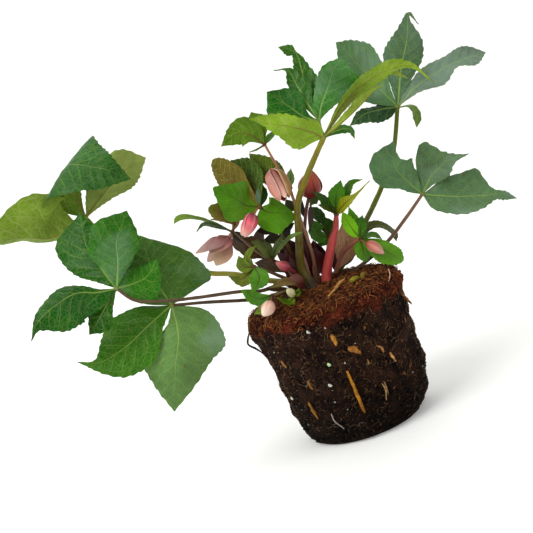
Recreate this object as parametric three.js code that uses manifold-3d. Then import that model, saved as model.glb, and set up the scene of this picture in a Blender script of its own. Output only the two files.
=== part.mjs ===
// A young hellebore out of its pot, in millimetres, +Z up. The origin is the middle of the root
// ball's flat underside. Leaves, flowering stems, bracts and flowers grow out of the crown.
import * as THREE from 'three';
import { mergeVertices } from 'three/addons/utils/BufferGeometryUtils.js';
import Module from 'manifold-3d';

const wasm = await Module();
wasm.setup();

// Root ball: the cast of a tapered round pot.
const BALL_HEIGHT = 100;
const BALL_TOP_RADIUS = 58.5;
const BALL_BOTTOM_RADIUS = 45.5;
const BALL_FLAT_RADIUS = 39;
const BALL_DOME = 8;
const BALL_SIDES = 28;
const BALL_STEPS = 7;

// Thin pieces.
const GAP = 0.3;
const BLADE_THICKNESS = 0.7;
const BLADE_FOOT = 0.8;
const BLADE_TIP = 0.35;
const TUBE_SIDES = 5;
const TUBE_STEP = 13;

// Saw-toothed margins: how far apart the teeth are, how deep they cut, and the fewest and most.
const MARGINS = {
  leaf: { spacing: 12, bite: 1.9, fewest: 3, most: 7 },
  bract: { spacing: 9, bite: 1.2, fewest: 3, most: 3 },
  plain: { spacing: 9, bite: 0, fewest: 2, most: 3 },
};
const TOOTH_PEAK = 0.75;

// Finishes: colour and roughness.
const FINISHES = {
  soil: [0x3a2016, 0.95],
  leafOlive: [0x5f7a2a, 0.5],
  leafDark: [0x3d6a2c, 0.45],
  leafGreen: [0x4b7524, 0.5],
  leafGrey: [0x5d7754, 0.5],
  stalkYellow: [0x7f7a1a, 0.5],
  stalkDark: [0x40291a, 0.5],
  stalkGreen: [0x67730a, 0.5],
  stalkBrown: [0x6f553a, 0.5],
  stemPink: [0xa95e53, 0.5],
  stemRed: [0x57302a, 0.5],
  stemGreen: [0x6d6a2c, 0.5],
  bractGreen: [0x4b7010, 0.55],
  bractOlive: [0x3d4e00, 0.55],
  bractBrown: [0x6a5f19, 0.6],
  petalPink: [0xc98a7c, 0.5],
  petalRose: [0xd26a72, 0.5],
  petalCream: [0xd8c29a, 0.5],
};

// Each shoot: its stem from its foot in the soil to its tip, branches and sheaths that are one
// with the stem, and its clusters of blades. A cluster sits on the stem's tip, or as a collar
// round the stem. A blade is given by its midrib, the way its upper face looks along the midrib,
// its half widths left and right of the midrib at even steps, how far each half is folded up and
// how much it cups, in degrees, and how far its margin is swept towards the tip.
const SHOOTS = [
  {
    name: 'leaf_a_stalk', finish: 'stalkYellow',
    stem: { path: [[-15, 11, 99], [-16, 14, 112], [-32, 22, 119], [-55, 30, 131], [-75, 36, 139],
      [-110, 42, 163], [-136, 42, 190], [-144, 40, 207]], radius: [2.2, 1.6] },
    clusters: [
      {
        name: 'leaf_a_blades', finish: 'leafOlive', hub: [-144, 40, 207], radius: 2.6,
        blades: [
          { rib: [[-156, 36, 204], [-173, 31, 203], [-192, 25, 211], [-223, 18, 216]],
            face: [[0.12, 0.97, 0.19]],
            left: [4, 23, 31, 22], right: [8, 14, 19, 13], fold: [0, 55],
              cup: [10, 10], sweep: [-0.4, 0] },
          { rib: [[-145, 44, 229], [-142, 28, 248], [-120, 8, 240], [-100, 2, 225]],
            face: [[0.07, 1, 0.03], [-0.5, -0.12, 0.86], [0.21, -0.87, 0.44]],
            left: [3, 10, 31, 21, 11], right: [20, 31, 33, 23, 15], cup: [-10, -10] },
          { rib: [[-129, 44, 217], [-107, 52, 229], [-88, 56, 233]],
            face: [[0.3, 0.95, 0.07]],
            left: [3, 7, 13, 11], right: [8, 15, 18, 14], cup: [15, 15] },
        ],
      },
    ],
  },
  {
    name: 'leaf_b_stalk', finish: 'stalkDark',
    stem: { path: [[-15, -8, 99], [-17, -9, 108], [-23, -14, 119], [-40, -24, 122], [-54, -32, 128],
      [-81, -44, 136], [-103, -52, 143], [-121, -57, 151], [-130, -58, 163]], radius: [1.5, 1] },
    clusters: [
      {
        name: 'leaf_b_blades', finish: 'leafDark', hub: [-130, -58, 163], radius: 2.0,
        blades: [
          { rib: [[-136, -50, 179], [-141, -38, 196], [-139, -24, 216]],
            face: [[0.01, -0.8, 0.6]],
            left: [7, 15, 20, 22], right: [4, 10, 12, 11], fold: [-5, 5], cup: [-25, -20] },
          { rib: [[-124, -50, 178], [-120, -40, 192], [-108, -26, 207]],
            face: [[0.25, -0.82, 0.52]],
            left: [8, 17, 19, 18], right: [5, 11, 17, 13], fold: [5, 5], cup: [-25, -25] },
          { rib: [[-119, -50, 161], [-109, -44, 162], [-99, -40, 170]],
            face: [[0.2, -0.9, 0.39]],
            left: [8, 12, 8], right: [12, 17, 9], cup: [-20, -20] },
          { rib: [[-142, -66, 166], [-155, -72, 171], [-171, -76, 168], [-185, -78, 161],
            [-192, -76, 152]],
            face: [[0.08, -0.77, 0.63]],
            left: [10, 18, 20, 17, 4], right: [3, 8, 11, 9, 2], fold: [-10, 0], cup: [-30, -35] },
          { rib: [[-140, -66, 155], [-147, -70, 149], [-156, -70, 142]],
            face: [[-0.09, -0.87, 0.49]],
            left: [4, 8, 9], right: [6, 11, 8], cup: [-20, -20] },
        ],
      },
    ],
  },
  {
    name: 'leaf_c_stalk', finish: 'stalkDark',
    stem: { path: [[-19, -4, 99], [-23, -10, 112], [-42, -20, 116], [-56, -26, 121], [-79, -36, 130],
      [-101, -42, 137]], radius: [1.5, 1.1] },
    clusters: [
      {
        name: 'leaf_c_blades', finish: 'leafDark', hub: [-101, -42, 137], radius: 2.2,
        blades: [
          { rib: [[-105, -34, 153], [-106, -22, 171], [-107, -10, 186]],
            face: [[0.31, -0.78, 0.55]],
            left: [16, 24, 24, 18], right: [25, 36, 38, 34, 24], fold: [0, -5],
              cup: [-15, -15], sweep: [0, -0.2] },
          { rib: [[-119, -50, 131], [-139, -56, 123], [-158, -60, 120], [-172, -58, 125]],
            face: [[-0.16, -0.81, 0.56]],
            left: [9, 21, 22, 6], right: [18, 26, 19, 3], fold: [-5, 0], cup: [-15, -15] },
          { rib: [[-103, -54, 118], [-112, -60, 99], [-123, -60, 71]],
            face: [[0.18, -0.92, 0.35]],
            left: [24, 33, 31, 23, 13], right: [5, 15, 21, 22, 13], fold: [-5, -5],
              cup: [-15, -15], sweep: [-0.3, 0] },
        ],
      },
    ],
  },
  {
    name: 'leaf_d_stalk', finish: 'stalkYellow',
    stem: { path: [[-3, -10, 99], [-5, -8, 112], [-8, -6, 124], [-2, -14, 149], [4, -22, 170],
      [15, -30, 186], [26, -36, 199], [35, -40, 209]], radius: [4.2, 3.3, 2.4, 2.1, 1.8] },
    clusters: [
      {
        name: 'leaf_d_blades', finish: 'leafGreen', hub: [35, -40, 209], radius: 2.6,
        stalks: [{ path: [[35, -40, 209], [35, -38, 215], [36, -36, 220]], radius: [1.5, 1.1] }],
        blades: [
          { rib: [[28, -42, 216], [16, -44, 224], [3, -46, 231], [-8, -48, 238]],
            face: [[0.17, 0.93, 0.33]],
            left: [8, 8, 8, 6], right: [12, 15, 9, 3] },
          { from: [36, -36, 220], rib: [[27, -34, 227], [19, -30, 238], [10, -26, 250]],
            face: [[-0.02, -0.75, 0.66]],
            left: [4, 11, 15, 13], right: [3, 8, 14, 13], cup: [-20, -20] },
          { from: [36, -36, 220], rib: [[41, -32, 229], [50, -26, 239], [58, -20, 248], [67, -14, 255]],
            face: [[0.08, -0.77, 0.63]],
            left: [5, 8, 10, 9], right: [6, 12, 16, 17], cup: [-15, -10] },
          { from: [36, -36, 220], rib: [[33, -26, 235], [31, -18, 248], [29, -14, 259], [20, -12, 262]],
            face: [[-0.15, -0.78, 0.61]],
            left: [3, 6, 5, 1], right: [3, 9, 6, 1] },
          { from: [36, -36, 220], rib: [[37, -22, 236], [38, -12, 252], [39, -8, 266], [36, -6, 271],
            [29, -4, 276]],
            face: [[-0.05, -0.8, 0.6]],
            left: [3, 6, 5, 3, 5], right: [3, 9, 5, 1, 4] },
          { rib: [[52, -38, 224], [70, -36, 233], [89, -38, 237], [107, -42, 234], [116, -46, 219]],
            face: [[-0.08, 0.84, 0.54]],
            left: [2, 6, 8, 3, 2], right: [2, 5, 6, 7, 1] },
          { rib: [[53, -37, 222], [68, -34, 230], [84, -33, 237], [94, -34, 235], [102, -37, 227]],
            face: [[-0.08, 0.84, 0.54]],
            left: [2, 4, 5, 3], right: [2, 4, 4, 2] },
          { rib: [[52, -46, 216], [63, -48, 221], [73, -48, 226], [84, -46, 229]],
            face: [[-0.1, 0.55, 0.83]],
            left: [3, 7, 6, 4], right: [3, 5, 5, 3], fold: [30, 30] },
          { rib: [[48, -34, 210], [55, -28, 207], [56, -26, 200]],
            face: [[0.5, -0.64, 0.58]],
            left: [3, 4, 3], right: [3, 4, 3] },
        ],
      },
    ],
  },
  {
    name: 'leaf_e_stalk', finish: 'stalkGreen',
    stem: { path: [[7, 16, 98], [8, 15, 104], [24, 18, 114], [50, 28, 136], [69, 34, 154],
      [87, 40, 176], [101, 45, 205]], radius: [2.3, 2, 1.6] },
    clusters: [
      {
        name: 'leaf_e_blades', finish: 'leafGrey', hub: [101, 45, 205], radius: 2.5,
        blades: [
          { rib: [[93, 46, 221], [85, 46, 240], [79, 44, 254], [73, 42, 265]],
            face: [[0.02, -0.65, 0.76]],
            left: [12, 22, 23, 13], right: [8, 17, 20, 13] },
          { rib: [[113, 50, 230], [124, 50, 249], [131, 48, 266], [135, 44, 257]],
            face: [[0.01, -0.89, 0.46]],
            left: [8, 15, 13, 6, 1], right: [8, 14, 15, 3, 1] },
          { rib: [[120, 42, 215], [143, 40, 221], [161, 40, 222], [175, 42, 221]],
            face: [[0.34, -0.6, 0.73]],
            left: [7, 11, 11, 13], right: [5, 14, 6, 10] },
          { rib: [[87, 40, 208], [75, 36, 209], [62, 34, 205]],
            face: [[0.11, -0.69, 0.71]],
            left: [8, 8, 5], right: [8, 8, 7] },
          { rib: [[109, 38, 203], [111, 36, 195], [108, 34, 187]],
            face: [[0.61, -0.51, 0.61]],
            left: [3, 5, 4], right: [3, 5, 4] },
        ],
      },
    ],
  },
  {
    name: 'leaf_f_stalk', finish: 'stalkBrown',
    stem: { path: [[10, 2, 98], [12, 4, 105], [30, 6, 108], [57, 10, 118], [75, 12, 129],
      [93, 12, 142]], radius: [1.7, 1.2] },
    clusters: [
      {
        name: 'leaf_f_blades', finish: 'leafGrey', hub: [93, 12, 142], radius: 2.1,
        blades: [
          { rib: [[86, 10, 154], [80, 8, 169], [85, 6, 186]], face: [[0.04, -0.83, 0.55]],
            left: [5, 10, 21, 16], right: [7, 12, 14, 4] },
          { rib: [[104, 14, 152], [118, 14, 158], [134, 12, 158]],
            face: [[0.14, -0.84, 0.52]],
            left: [12, 22, 9, 3], right: [4, 9, 9, 3], sweep: [0.5, 0] },
          { rib: [[107, 6, 136], [130, 2, 128], [144, 0, 125], [154, -2, 118]],
            face: [[0.17, -0.78, 0.6]],
            left: [13, 19, 24, 5, 3], right: [9, 13, 12, 4, 4] },
        ],
      },
    ],
  },
  {
    name: 'stem_1', finish: 'stemPink',
    stem: { path: [[1, 3, 99], [1, 4, 113], [3, -2, 134], [3, -6, 154], [3, -8, 171], [3, -10, 185],
      [0, -10, 199], [-3, -8, 216]], radius: [1.3, 0.9] },
    branches: [{ path: [[0, -10, 199], [-2, -14, 198], [-5, -16, 198]], radius: [0.8, 0.8] }],
    sheaths: [
      { rib: [[2, 5, 113], [4, 4, 123], [6, 2, 134]], face: [[0.1, -0.9, 0.43]],
        left: [2, 3, 3], right: [4, 6, 5] },
    ],
    clusters: [
      {
        name: 'bracts_1', finish: 'bractGreen', hub: [-3, -8, 216], radius: 1.9,
        blades: [
          { rib: [[-10, -8, 226], [-19, -6, 230], [-32, -4, 225]],
            face: [[0.17, 0.93, 0.33]],
            left: [9, 14, 9], right: [4, 9, 5] },
          { rib: [[-4, -6, 228], [-4, -2, 240]], face: [[0.14, 0.96, 0.23]],
            left: [4, 9, 9], right: [3, 7, 7] },
          { rib: [[2, -10, 220], [9, -12, 222]], face: [[0.44, -0.79, 0.42]],
            left: [2, 2], right: [2, 2] },
          { rib: [[-10, -12, 215], [-15, -14, 215]], face: [[0.21, -0.7, 0.68]],
            left: [0.6, 0.5], right: [0.6, 0.5] },
        ],
      },
      {
        name: 'bracts_1_lower', finish: 'bractOlive', hub: [3, -9, 182], radius: 2.4, collar: true,
        blades: [
          { rib: [[-7, -2, 196], [-15, 2, 213]], face: [[0.39, 0.92, 0.04]],
            left: [9, 11, 8], right: [6, 9, 8] },
          { rib: [[6, -2, 187], [9, 2, 193]], face: [[0.58, -0.78, 0.24]],
            left: [3, 3], right: [3, 3] },
        ],
      },
    ],
  },
  {
    name: 'stem_2', finish: 'stemRed',
    stem: { path: [[-4, 9, 99], [-4, 8, 113], [0, 6, 137], [8, 4, 158], [14, 2, 169]],
      radius: [1.5, 1.2] },
    sheaths: [
      { rib: [[-3, 7, 114], [-4, 3, 128], [-6, 0, 141]], face: [[-0.12, -0.91, 0.41]],
        left: [5, 6, 5], right: [3, 3, 4] },
    ],
  },
  {
    name: 'stem_3', finish: 'stemRed',
    stem: { path: [[-7, 15, 99], [-8, 14, 112], [-10, 8, 131], [-14, -4, 154], [-21, -20, 177]],
      radius: [1.5, 1.1] },
    sheaths: [
      { rib: [[-8, 14, 113], [-9, 9, 126], [-11, 6, 138], [-12, 4, 148]],
        face: [[-0.12, -0.91, 0.41]],
        left: [5, 9, 7], right: [4, 7, 6] },
    ],
    clusters: [
      {
        name: 'bracts_3', finish: 'bractGreen', hub: [-21, -20, 177], radius: 2.2,
        stalks: [{ path: [[-21, -20, 177], [-24, -27, 177], [-28, -32, 174]], radius: [0.8, 0.8] }],
        blades: [
          { rib: [[-33, -8, 199], [-41, -2, 218]], face: [[0.39, 0.92, 0.04]],
            left: [8, 13, 15], right: [7, 14, 13] },
          { rib: [[-21, -4, 197], [-29, 4, 213]], face: [[0.39, 0.92, 0.04]],
            left: [6, 11, 10], right: [7, 13, 12] },
          { rib: [[-30, -22, 182], [-37, -23, 191], [-47, -20, 201]],
            face: [[0.08, -0.77, 0.64]],
            left: [9, 17, 17], right: [5, 15, 13] },
          { rib: [[-20, -10, 187], [-24, -6, 197]], face: [[0.27, -0.78, 0.57]],
            left: [6, 8, 6], right: [6, 8, 6] },
          { rib: [[-17, -21, 172], [-9, -17, 168], [1, -10, 161]],
            face: [[0.14, -0.84, 0.52]],
            left: [7, 12, 11], right: [7, 15, 12] },
        ],
      },
    ],
  },
  {
    name: 'stem_4', finish: 'stemRed',
    stem: { path: [[-7, 4, 99], [-7, 4, 112], [-19, -2, 128], [-33, -8, 146], [-45, -14, 167]],
      radius: [1.5, 1] },
    sheaths: [
      { rib: [[-9, 4, 115], [-15, 3, 129], [-21, 2, 141]], face: [[-0.08, -0.87, 0.49]],
        left: [3, 4, 3], right: [3, 4, 3] },
    ],
    clusters: [
      {
        name: 'bracts_4', finish: 'bractBrown', hub: [-45, -14, 167], radius: 1.9,
        blades: [
          { rib: [[-41, -18, 174], [-48, -20, 182], [-55, -20, 189]],
            face: [[0.21, -0.7, 0.68]],
            left: [3, 5, 6], right: [3, 6, 6] },
          { rib: [[-41, -16, 172], [-47, -18, 177], [-56, -19, 181]],
            face: [[0.21, -0.7, 0.68]],
            left: [2, 3, 2], right: [2, 3, 2] },
          { rib: [[-56, -16, 178], [-68, -18, 187], [-76, -20, 189], [-81, -22, 187]],
            face: [[0.27, -0.48, 0.84]],
            left: [1.5, 2, 3, 2.5], right: [1.5, 2, 3, 3] },
          { rib: [[-54, -18, 175], [-62, -22, 180], [-68, -26, 177]],
            face: [[0.27, -0.48, 0.84]],
            left: [2, 3, 2], right: [1, 2, 1] },
        ],
      },
      {
        name: 'bracts_4_lower', finish: 'bractBrown', hub: [-26, -5, 137], radius: 2.5, collar: true,
        blades: [
          { rib: [[-27, -9, 147], [-35, -12, 155]], face: [[0.34, -0.6, 0.73]],
            left: [5, 8, 6], right: [6, 8, 6] },
          { rib: [[-31, -2, 145], [-38, 0, 151], [-44, 1, 159]], face: [[0.1, -0.9, 0.43]],
            left: [5, 8, 7], right: [6, 10, 8] },
          { rib: [[-20, -11, 145], [-12, -13, 153]], face: [[0.3, -0.83, 0.47]],
            left: [2, 2.5], right: [2, 2.5] },
          { rib: [[-17, -15, 145], [-9, -21, 150], [1, -23, 151]],
            face: [[-0.3, -0.59, 0.75]],
            left: [1.5, 2, 2], right: [1.5, 2, 2] },
        ],
      },
    ],
  },
  {
    name: 'stem_5', finish: 'stemRed',
    stem: { path: [[-10, -5, 99], [-11, -6, 113], [-23, -12, 124], [-31, -16, 132], [-39, -20, 139]],
      radius: [1.4, 1] },
    clusters: [
      {
        name: 'bracts_5', finish: 'bractGreen', hub: [-39, -20, 139], radius: 2.0,
        blades: [
          { rib: [[-42, -22, 146], [-38, -24, 151], [-33, -24, 153]],
            face: [[-0.37, -0.73, 0.58]],
            left: [3, 3, 2], right: [3, 3, 2] },
          { rib: [[-46, -20, 142], [-47, -20, 150]], face: [[0.1, -0.9, 0.43]],
            left: [4, 4], right: [4, 5] },
          { rib: [[-38, -28, 132], [-42, -34, 128], [-47, -37, 125]],
            face: [[0.1, -0.9, 0.43]],
            left: [7, 7, 3], right: [8, 9, 5] },
          { rib: [[-50, -20, 134], [-58, -22, 139]], face: [[0.1, -0.9, 0.43]],
            left: [5, 6, 3], right: [3, 3, 2] },
        ],
      },
    ],
  },
  {
    name: 'stem_6', finish: 'stemGreen',
    stem: { path: [[-9, -12, 99], [-13, -12, 112], [-21, -18, 115], [-28, -24, 116], [-34, -28, 117]],
      radius: [1.3, 1] },
    branches: [{ path: [[-20, -18, 114], [-19, -20, 112], [-20, -23, 110]], radius: [0.9, 0.9] }],
    sheaths: [
      { rib: [[-13, -12, 111], [-19, -20, 121], [-34, -28, 123]], face: [[0.27, -0.48, 0.84]],
        left: [5, 6, 4], right: [4, 4, 3] },
      { rib: [[-11, -13, 111], [-15, -17, 118], [-22, -20, 121]], face: [[-0.1, -0.85, 0.5]],
        left: [4, 6, 4], right: [4, 6, 4] },
    ],
    clusters: [
      {
        name: 'bracts_6', finish: 'bractGreen', hub: [-34, -28, 117], radius: 2.0,
        stalks: [{ path: [[-35, -29, 116], [-36, -34, 115], [-37, -37, 113]], radius: [0.8, 0.8] }],
        blades: [
          { rib: [[-44, -31, 119], [-53, -34, 129]], face: [[0.17, -0.78, 0.6]],
            left: [3, 6, 5], right: [3, 5, 4] },
          { rib: [[-43, -30, 111], [-50, -33, 110]], face: [[0.14, -0.84, 0.52]],
            left: [3, 3], right: [3, 3] },
        ],
      },
      {
        name: 'bracts_6_lower', finish: 'bractGreen', hub: [-20, -23, 110], radius: 1.8,
        stalks: [{ path: [[-20, -23, 110], [-20, -28, 112], [-21, -30, 114]], radius: [0.8, 0.8] }],
        blades: [
          { rib: [[-25, -26, 108], [-31, -32, 115]], face: [[0.24, -0.59, 0.77]],
            left: [3, 3, 3], right: [3, 4, 3] },
          { rib: [[-17, -25, 112], [-15, -27, 115]], face: [[0.44, -0.79, 0.42]],
            left: [2, 2], right: [2, 2] },
        ],
      },
    ],
  },
  {
    name: 'stem_7', finish: 'stemPink',
    stem: { path: [[5, -6, 99], [7, -4, 112], [18, -6, 133], [24, -6, 142], [28, -6, 152]],
      radius: [3.9, 3, 1.6] },
    clusters: [
      {
        name: 'bracts_7', finish: 'bractGreen', hub: [28, -6, 152], radius: 2.4,
        blades: [
          { rib: [[24, -10, 163], [18, -14, 174]], face: [[-0.08, -0.63, 0.77]],
            left: [3, 5, 3], right: [3, 4, 3] },
          { rib: [[24, -12, 159], [18, -15, 164]], face: [[-0.08, -0.63, 0.77]],
            left: [3, 4, 3], right: [3, 3, 3] },
          { rib: [[31, -8, 162], [35, -8, 169], [39, -7, 174]],
            face: [[0.07, -0.94, 0.34]],
            left: [4, 6, 3], right: [4, 6, 4] },
          { rib: [[37, -4, 161], [45, -3, 169], [54, -3, 169]],
            face: [[-0.18, -0.83, 0.52]],
            left: [3, 3, 2], right: [3, 4, 2] },
          { rib: [[34, -12, 157], [42, -16, 161], [57, -18, 168]],
            face: [[0.17, -0.78, 0.61]],
            left: [6, 5, 1], right: [4, 4, 1.5] },
        ],
      },
    ],
  },
  {
    name: 'stem_8', finish: 'stemPink',
    stem: { path: [[13, 11, 99], [15, 9, 110], [22, 8, 120], [31, 4, 126], [39, 0, 129]],
      radius: [1.4, 1.1] },
    sheaths: [
      { rib: [[18, 9, 112], [27, 11, 124], [31, 12, 142]], face: [[0.3, -0.88, 0.36]],
        left: [5, 8, 6], right: [5, 10, 8] },
    ],
    clusters: [
      {
        name: 'bracts_8', finish: 'bractGreen', hub: [39, 0, 129], radius: 2.1,
        stalks: [{ path: [[39, -1, 128], [41, -8, 126], [43, -10, 124]], radius: [0.8, 0.8] }],
        blades: [
          { rib: [[35, -2, 140], [33, -2, 152]], face: [[-0.02, -0.75, 0.66]],
            left: [4, 5, 4], right: [4, 5, 4] },
          { rib: [[39, 2, 140], [39, 4, 153]], face: [[-0.02, -0.75, 0.66]],
            left: [4, 4, 3], right: [4, 5, 3] },
          { rib: [[42, 0, 137], [46, 2, 144]], face: [[0.1, -0.9, 0.43]],
            left: [3, 4], right: [4, 4] },
          { rib: [[49, 8, 134], [58, 13, 131], [65, 18, 122], [65, 19, 115]],
            face: [[0.45, -0.53, 0.72]],
            left: [3, 4, 4, 4], right: [3, 4, 4, 4] },
          { rib: [[48, -2, 129], [53, -4, 124]], face: [[0.45, -0.53, 0.72]],
            left: [3, 3], right: [3, 3] },
          { rib: [[38, -3, 120], [37, -4, 112]], face: [[0.1, -0.9, 0.43]],
            left: [7, 7, 5], right: [6, 6, 5] },
          { rib: [[50, -4, 118], [57, -8, 110], [62, -10, 105]],
            face: [[0.14, -0.84, 0.52]],
            left: [6, 8, 7], right: [8, 10, 7] },
        ],
      },
    ],
  },
  {
    name: 'stem_9', finish: 'stemGreen',
    stem: { path: [[4, 8, 99], [6, 12, 111], [13, 14, 124], [19, 14, 135]], radius: [1.2, 1] },
    sheaths: [
      { rib: [[5, 13, 112], [6, 12, 126], [7, 10, 138]], face: [[-0.12, -0.91, 0.41]],
        left: [4, 7, 5], right: [4, 7, 5] },
    ],
    clusters: [
      {
        name: 'bracts_9', finish: 'bractGreen', hub: [19, 14, 136], radius: 2.0,
        blades: [
          { rib: [[18, 14, 152], [12, 12, 161]], face: [[0.17, -0.78, 0.61]],
            left: [1, 5, 5], right: [1, 4, 4] },
          { rib: [[12, 9, 141], [11, 8, 153]], face: [[0.14, -0.84, 0.52]],
            left: [5, 6, 5], right: [4, 6, 6] },
          { rib: [[13, 9, 134], [11, 7, 132]], face: [[0.14, -0.84, 0.52]],
            left: [3, 3], right: [3, 3] },
          { rib: [[21, 16, 143], [21, 18, 150]], face: [[0.14, -0.84, 0.52]],
            left: [5, 5], right: [5, 5] },
        ],
      },
    ],
  },
  {
    name: 'stem_10', finish: 'stemRed',
    stem: { path: [[-12, 0, 99], [-12, -4, 115], [-13, -9, 123], [-16, -14, 128]], radius: [1.1, 0.9] },
    sheaths: [
      { rib: [[-11, -3, 114], [-16, -4, 124], [-24, -8, 137]], face: [[0.18, -0.76, 0.62]],
        left: [4, 4, 3], right: [3, 3, 3] },
    ],
  },
];

// Flowers: closed buds, a half-open bell, and a spent open bloom. Each sits with its foot round
// the end of a stem, branch or stalk, which is cut out of it with a hair's clearance.
const FLOWERS = [
  { name: 'bud_1', finish: 'petalPink', form: bell,
    base: [-5, -15, 199], tip: [-3, -25, 177], radius: 8.4 },
  { name: 'bud_2', finish: 'petalRose', form: bud,
    base: [14, 2, 169], tip: [20, 0, 187], radius: 7.6 },
  { name: 'bud_3', finish: 'petalRose', form: bud,
    base: [-27, -31, 175], tip: [-39, -38, 164], radius: 5.2 },
  { name: 'bud_6', finish: 'petalCream', form: bud,
    base: [-36, -36, 114], tip: [-45, -45, 109], radius: 4.5 },
  { name: 'bud_6_lower', finish: 'petalCream', form: bud,
    base: [-20, -28, 112], tip: [-23, -35, 119], radius: 2.7 },
  { name: 'bud_8', finish: 'petalPink', form: bud,
    base: [42, -9, 126], tip: [50, -17, 115], radius: 4.3 },
  { name: 'bud_10', finish: 'petalRose', form: bud,
    base: [-16, -14, 128], tip: [-24, -20, 137], radius: 3.2 },
];
const BLOOM_HUB = [-47, -17, 165];
const BLOOM_HUB_RADIUS = 2;
const BLOOM_PETALS = [
  { rib: [[-54, -22, 163], [-65, -25, 160]], face: [[-0.05, -0.86, 0.5]],
    left: [5, 6, 4], right: [5, 6, 4] },
  { rib: [[-58, -22, 165], [-74, -26, 163]], face: [[-0.11, -0.71, 0.7]],
    left: [4, 6, 5], right: [3, 5, 4] },
  { rib: [[-56, -18, 158], [-68, -19, 151]], face: [[-0.12, -0.91, 0.41]],
    left: [4, 8, 8], right: [3, 6, 6] },
  { rib: [[-60, -15, 160], [-73, -14, 154]], face: [[-0.12, -0.8, 0.55]],
    left: [3, 6, 5], right: [3, 6, 5] },
];

const vector = (p) => new THREE.Vector3(...p);
const smooth = (points) => new THREE.CatmullRomCurve3(points, false, 'catmullrom', 0.5);

// A closed three.js geometry as a solid for joining and cutting.
function solid(geometry) {
  const bare = geometry.index ? geometry.toNonIndexed() : geometry.clone();
  bare.deleteAttribute('normal');
  bare.deleteAttribute('uv');
  const welded = mergeVertices(bare, 1e-5);
  return new wasm.Manifold(new wasm.Mesh({
    numProp: 3,
    vertProperties: new Float32Array(welded.attributes.position.array),
    triVerts: new Uint32Array(welded.index.array),
  }));
}

// Triangles given as corner points.
function facets(triangles) {
  return new THREE.BufferGeometry().setFromPoints(triangles.flat());
}

// Rings of points, each turning right-handed about the way the rings run, skinned one to the
// next and closed at both ends by a fan about the ring's middle.
function loft(rings) {
  const triangles = [];
  const middle = (ring) => ring.reduce((sum, p) => sum.add(p), new THREE.Vector3())
    .divideScalar(ring.length);
  const first = rings[0];
  const last = rings[rings.length - 1];
  const ends = [middle(first), middle(last)];
  for (let i = 0; i < first.length; i++) {
    const j = (i + 1) % first.length;
    for (let k = 0; k + 1 < rings.length; k++) {
      triangles.push([rings[k][i], rings[k][j], rings[k + 1][j]]);
      triangles.push([rings[k][i], rings[k + 1][j], rings[k + 1][i]]);
    }
    triangles.push([ends[0], first[j], first[i]]);
    triangles.push([ends[1], last[i], last[j]]);
  }
  return solid(facets(triangles));
}

// A value between the numbers of a list, spaced evenly from 0 to 1.
function between(list, u) {
  const place = u * (list.length - 1);
  const i = Math.min(Math.floor(place), list.length - 2);
  return THREE.MathUtils.lerp(list[i], list[i + 1], place - i);
}

// A tapering stem along a smooth path. swell makes it thicker and longer all round, to cut with.
function tube({ path, radius }, swell = 0) {
  const curve = smooth(path.map(vector));
  const steps = Math.max(2, Math.round(curve.getLength() / TUBE_STEP));
  const frames = curve.computeFrenetFrames(steps, false);
  const rings = [];
  for (let k = 0; k <= steps; k++) {
    const reach = k === 0 ? -swell : k === steps ? swell : 0;
    const at = curve.getPointAt(k / steps).addScaledVector(frames.tangents[k], reach);
    const r = between(radius, k / steps) + swell;
    const ring = [];
    for (let i = 0; i < TUBE_SIDES; i++) {
      const angle = (i / TUBE_SIDES) * Math.PI * 2;
      ring.push(at.clone()
        .addScaledVector(frames.normals[k], r * Math.cos(angle))
        .addScaledVector(frames.binormals[k], r * Math.sin(angle)));
    }
    rings.push(ring);
  }
  return loft(rings);
}

function ball(centre, radius) {
  return solid(new THREE.SphereGeometry(radius, 7, 4).translate(...centre));
}

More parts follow.
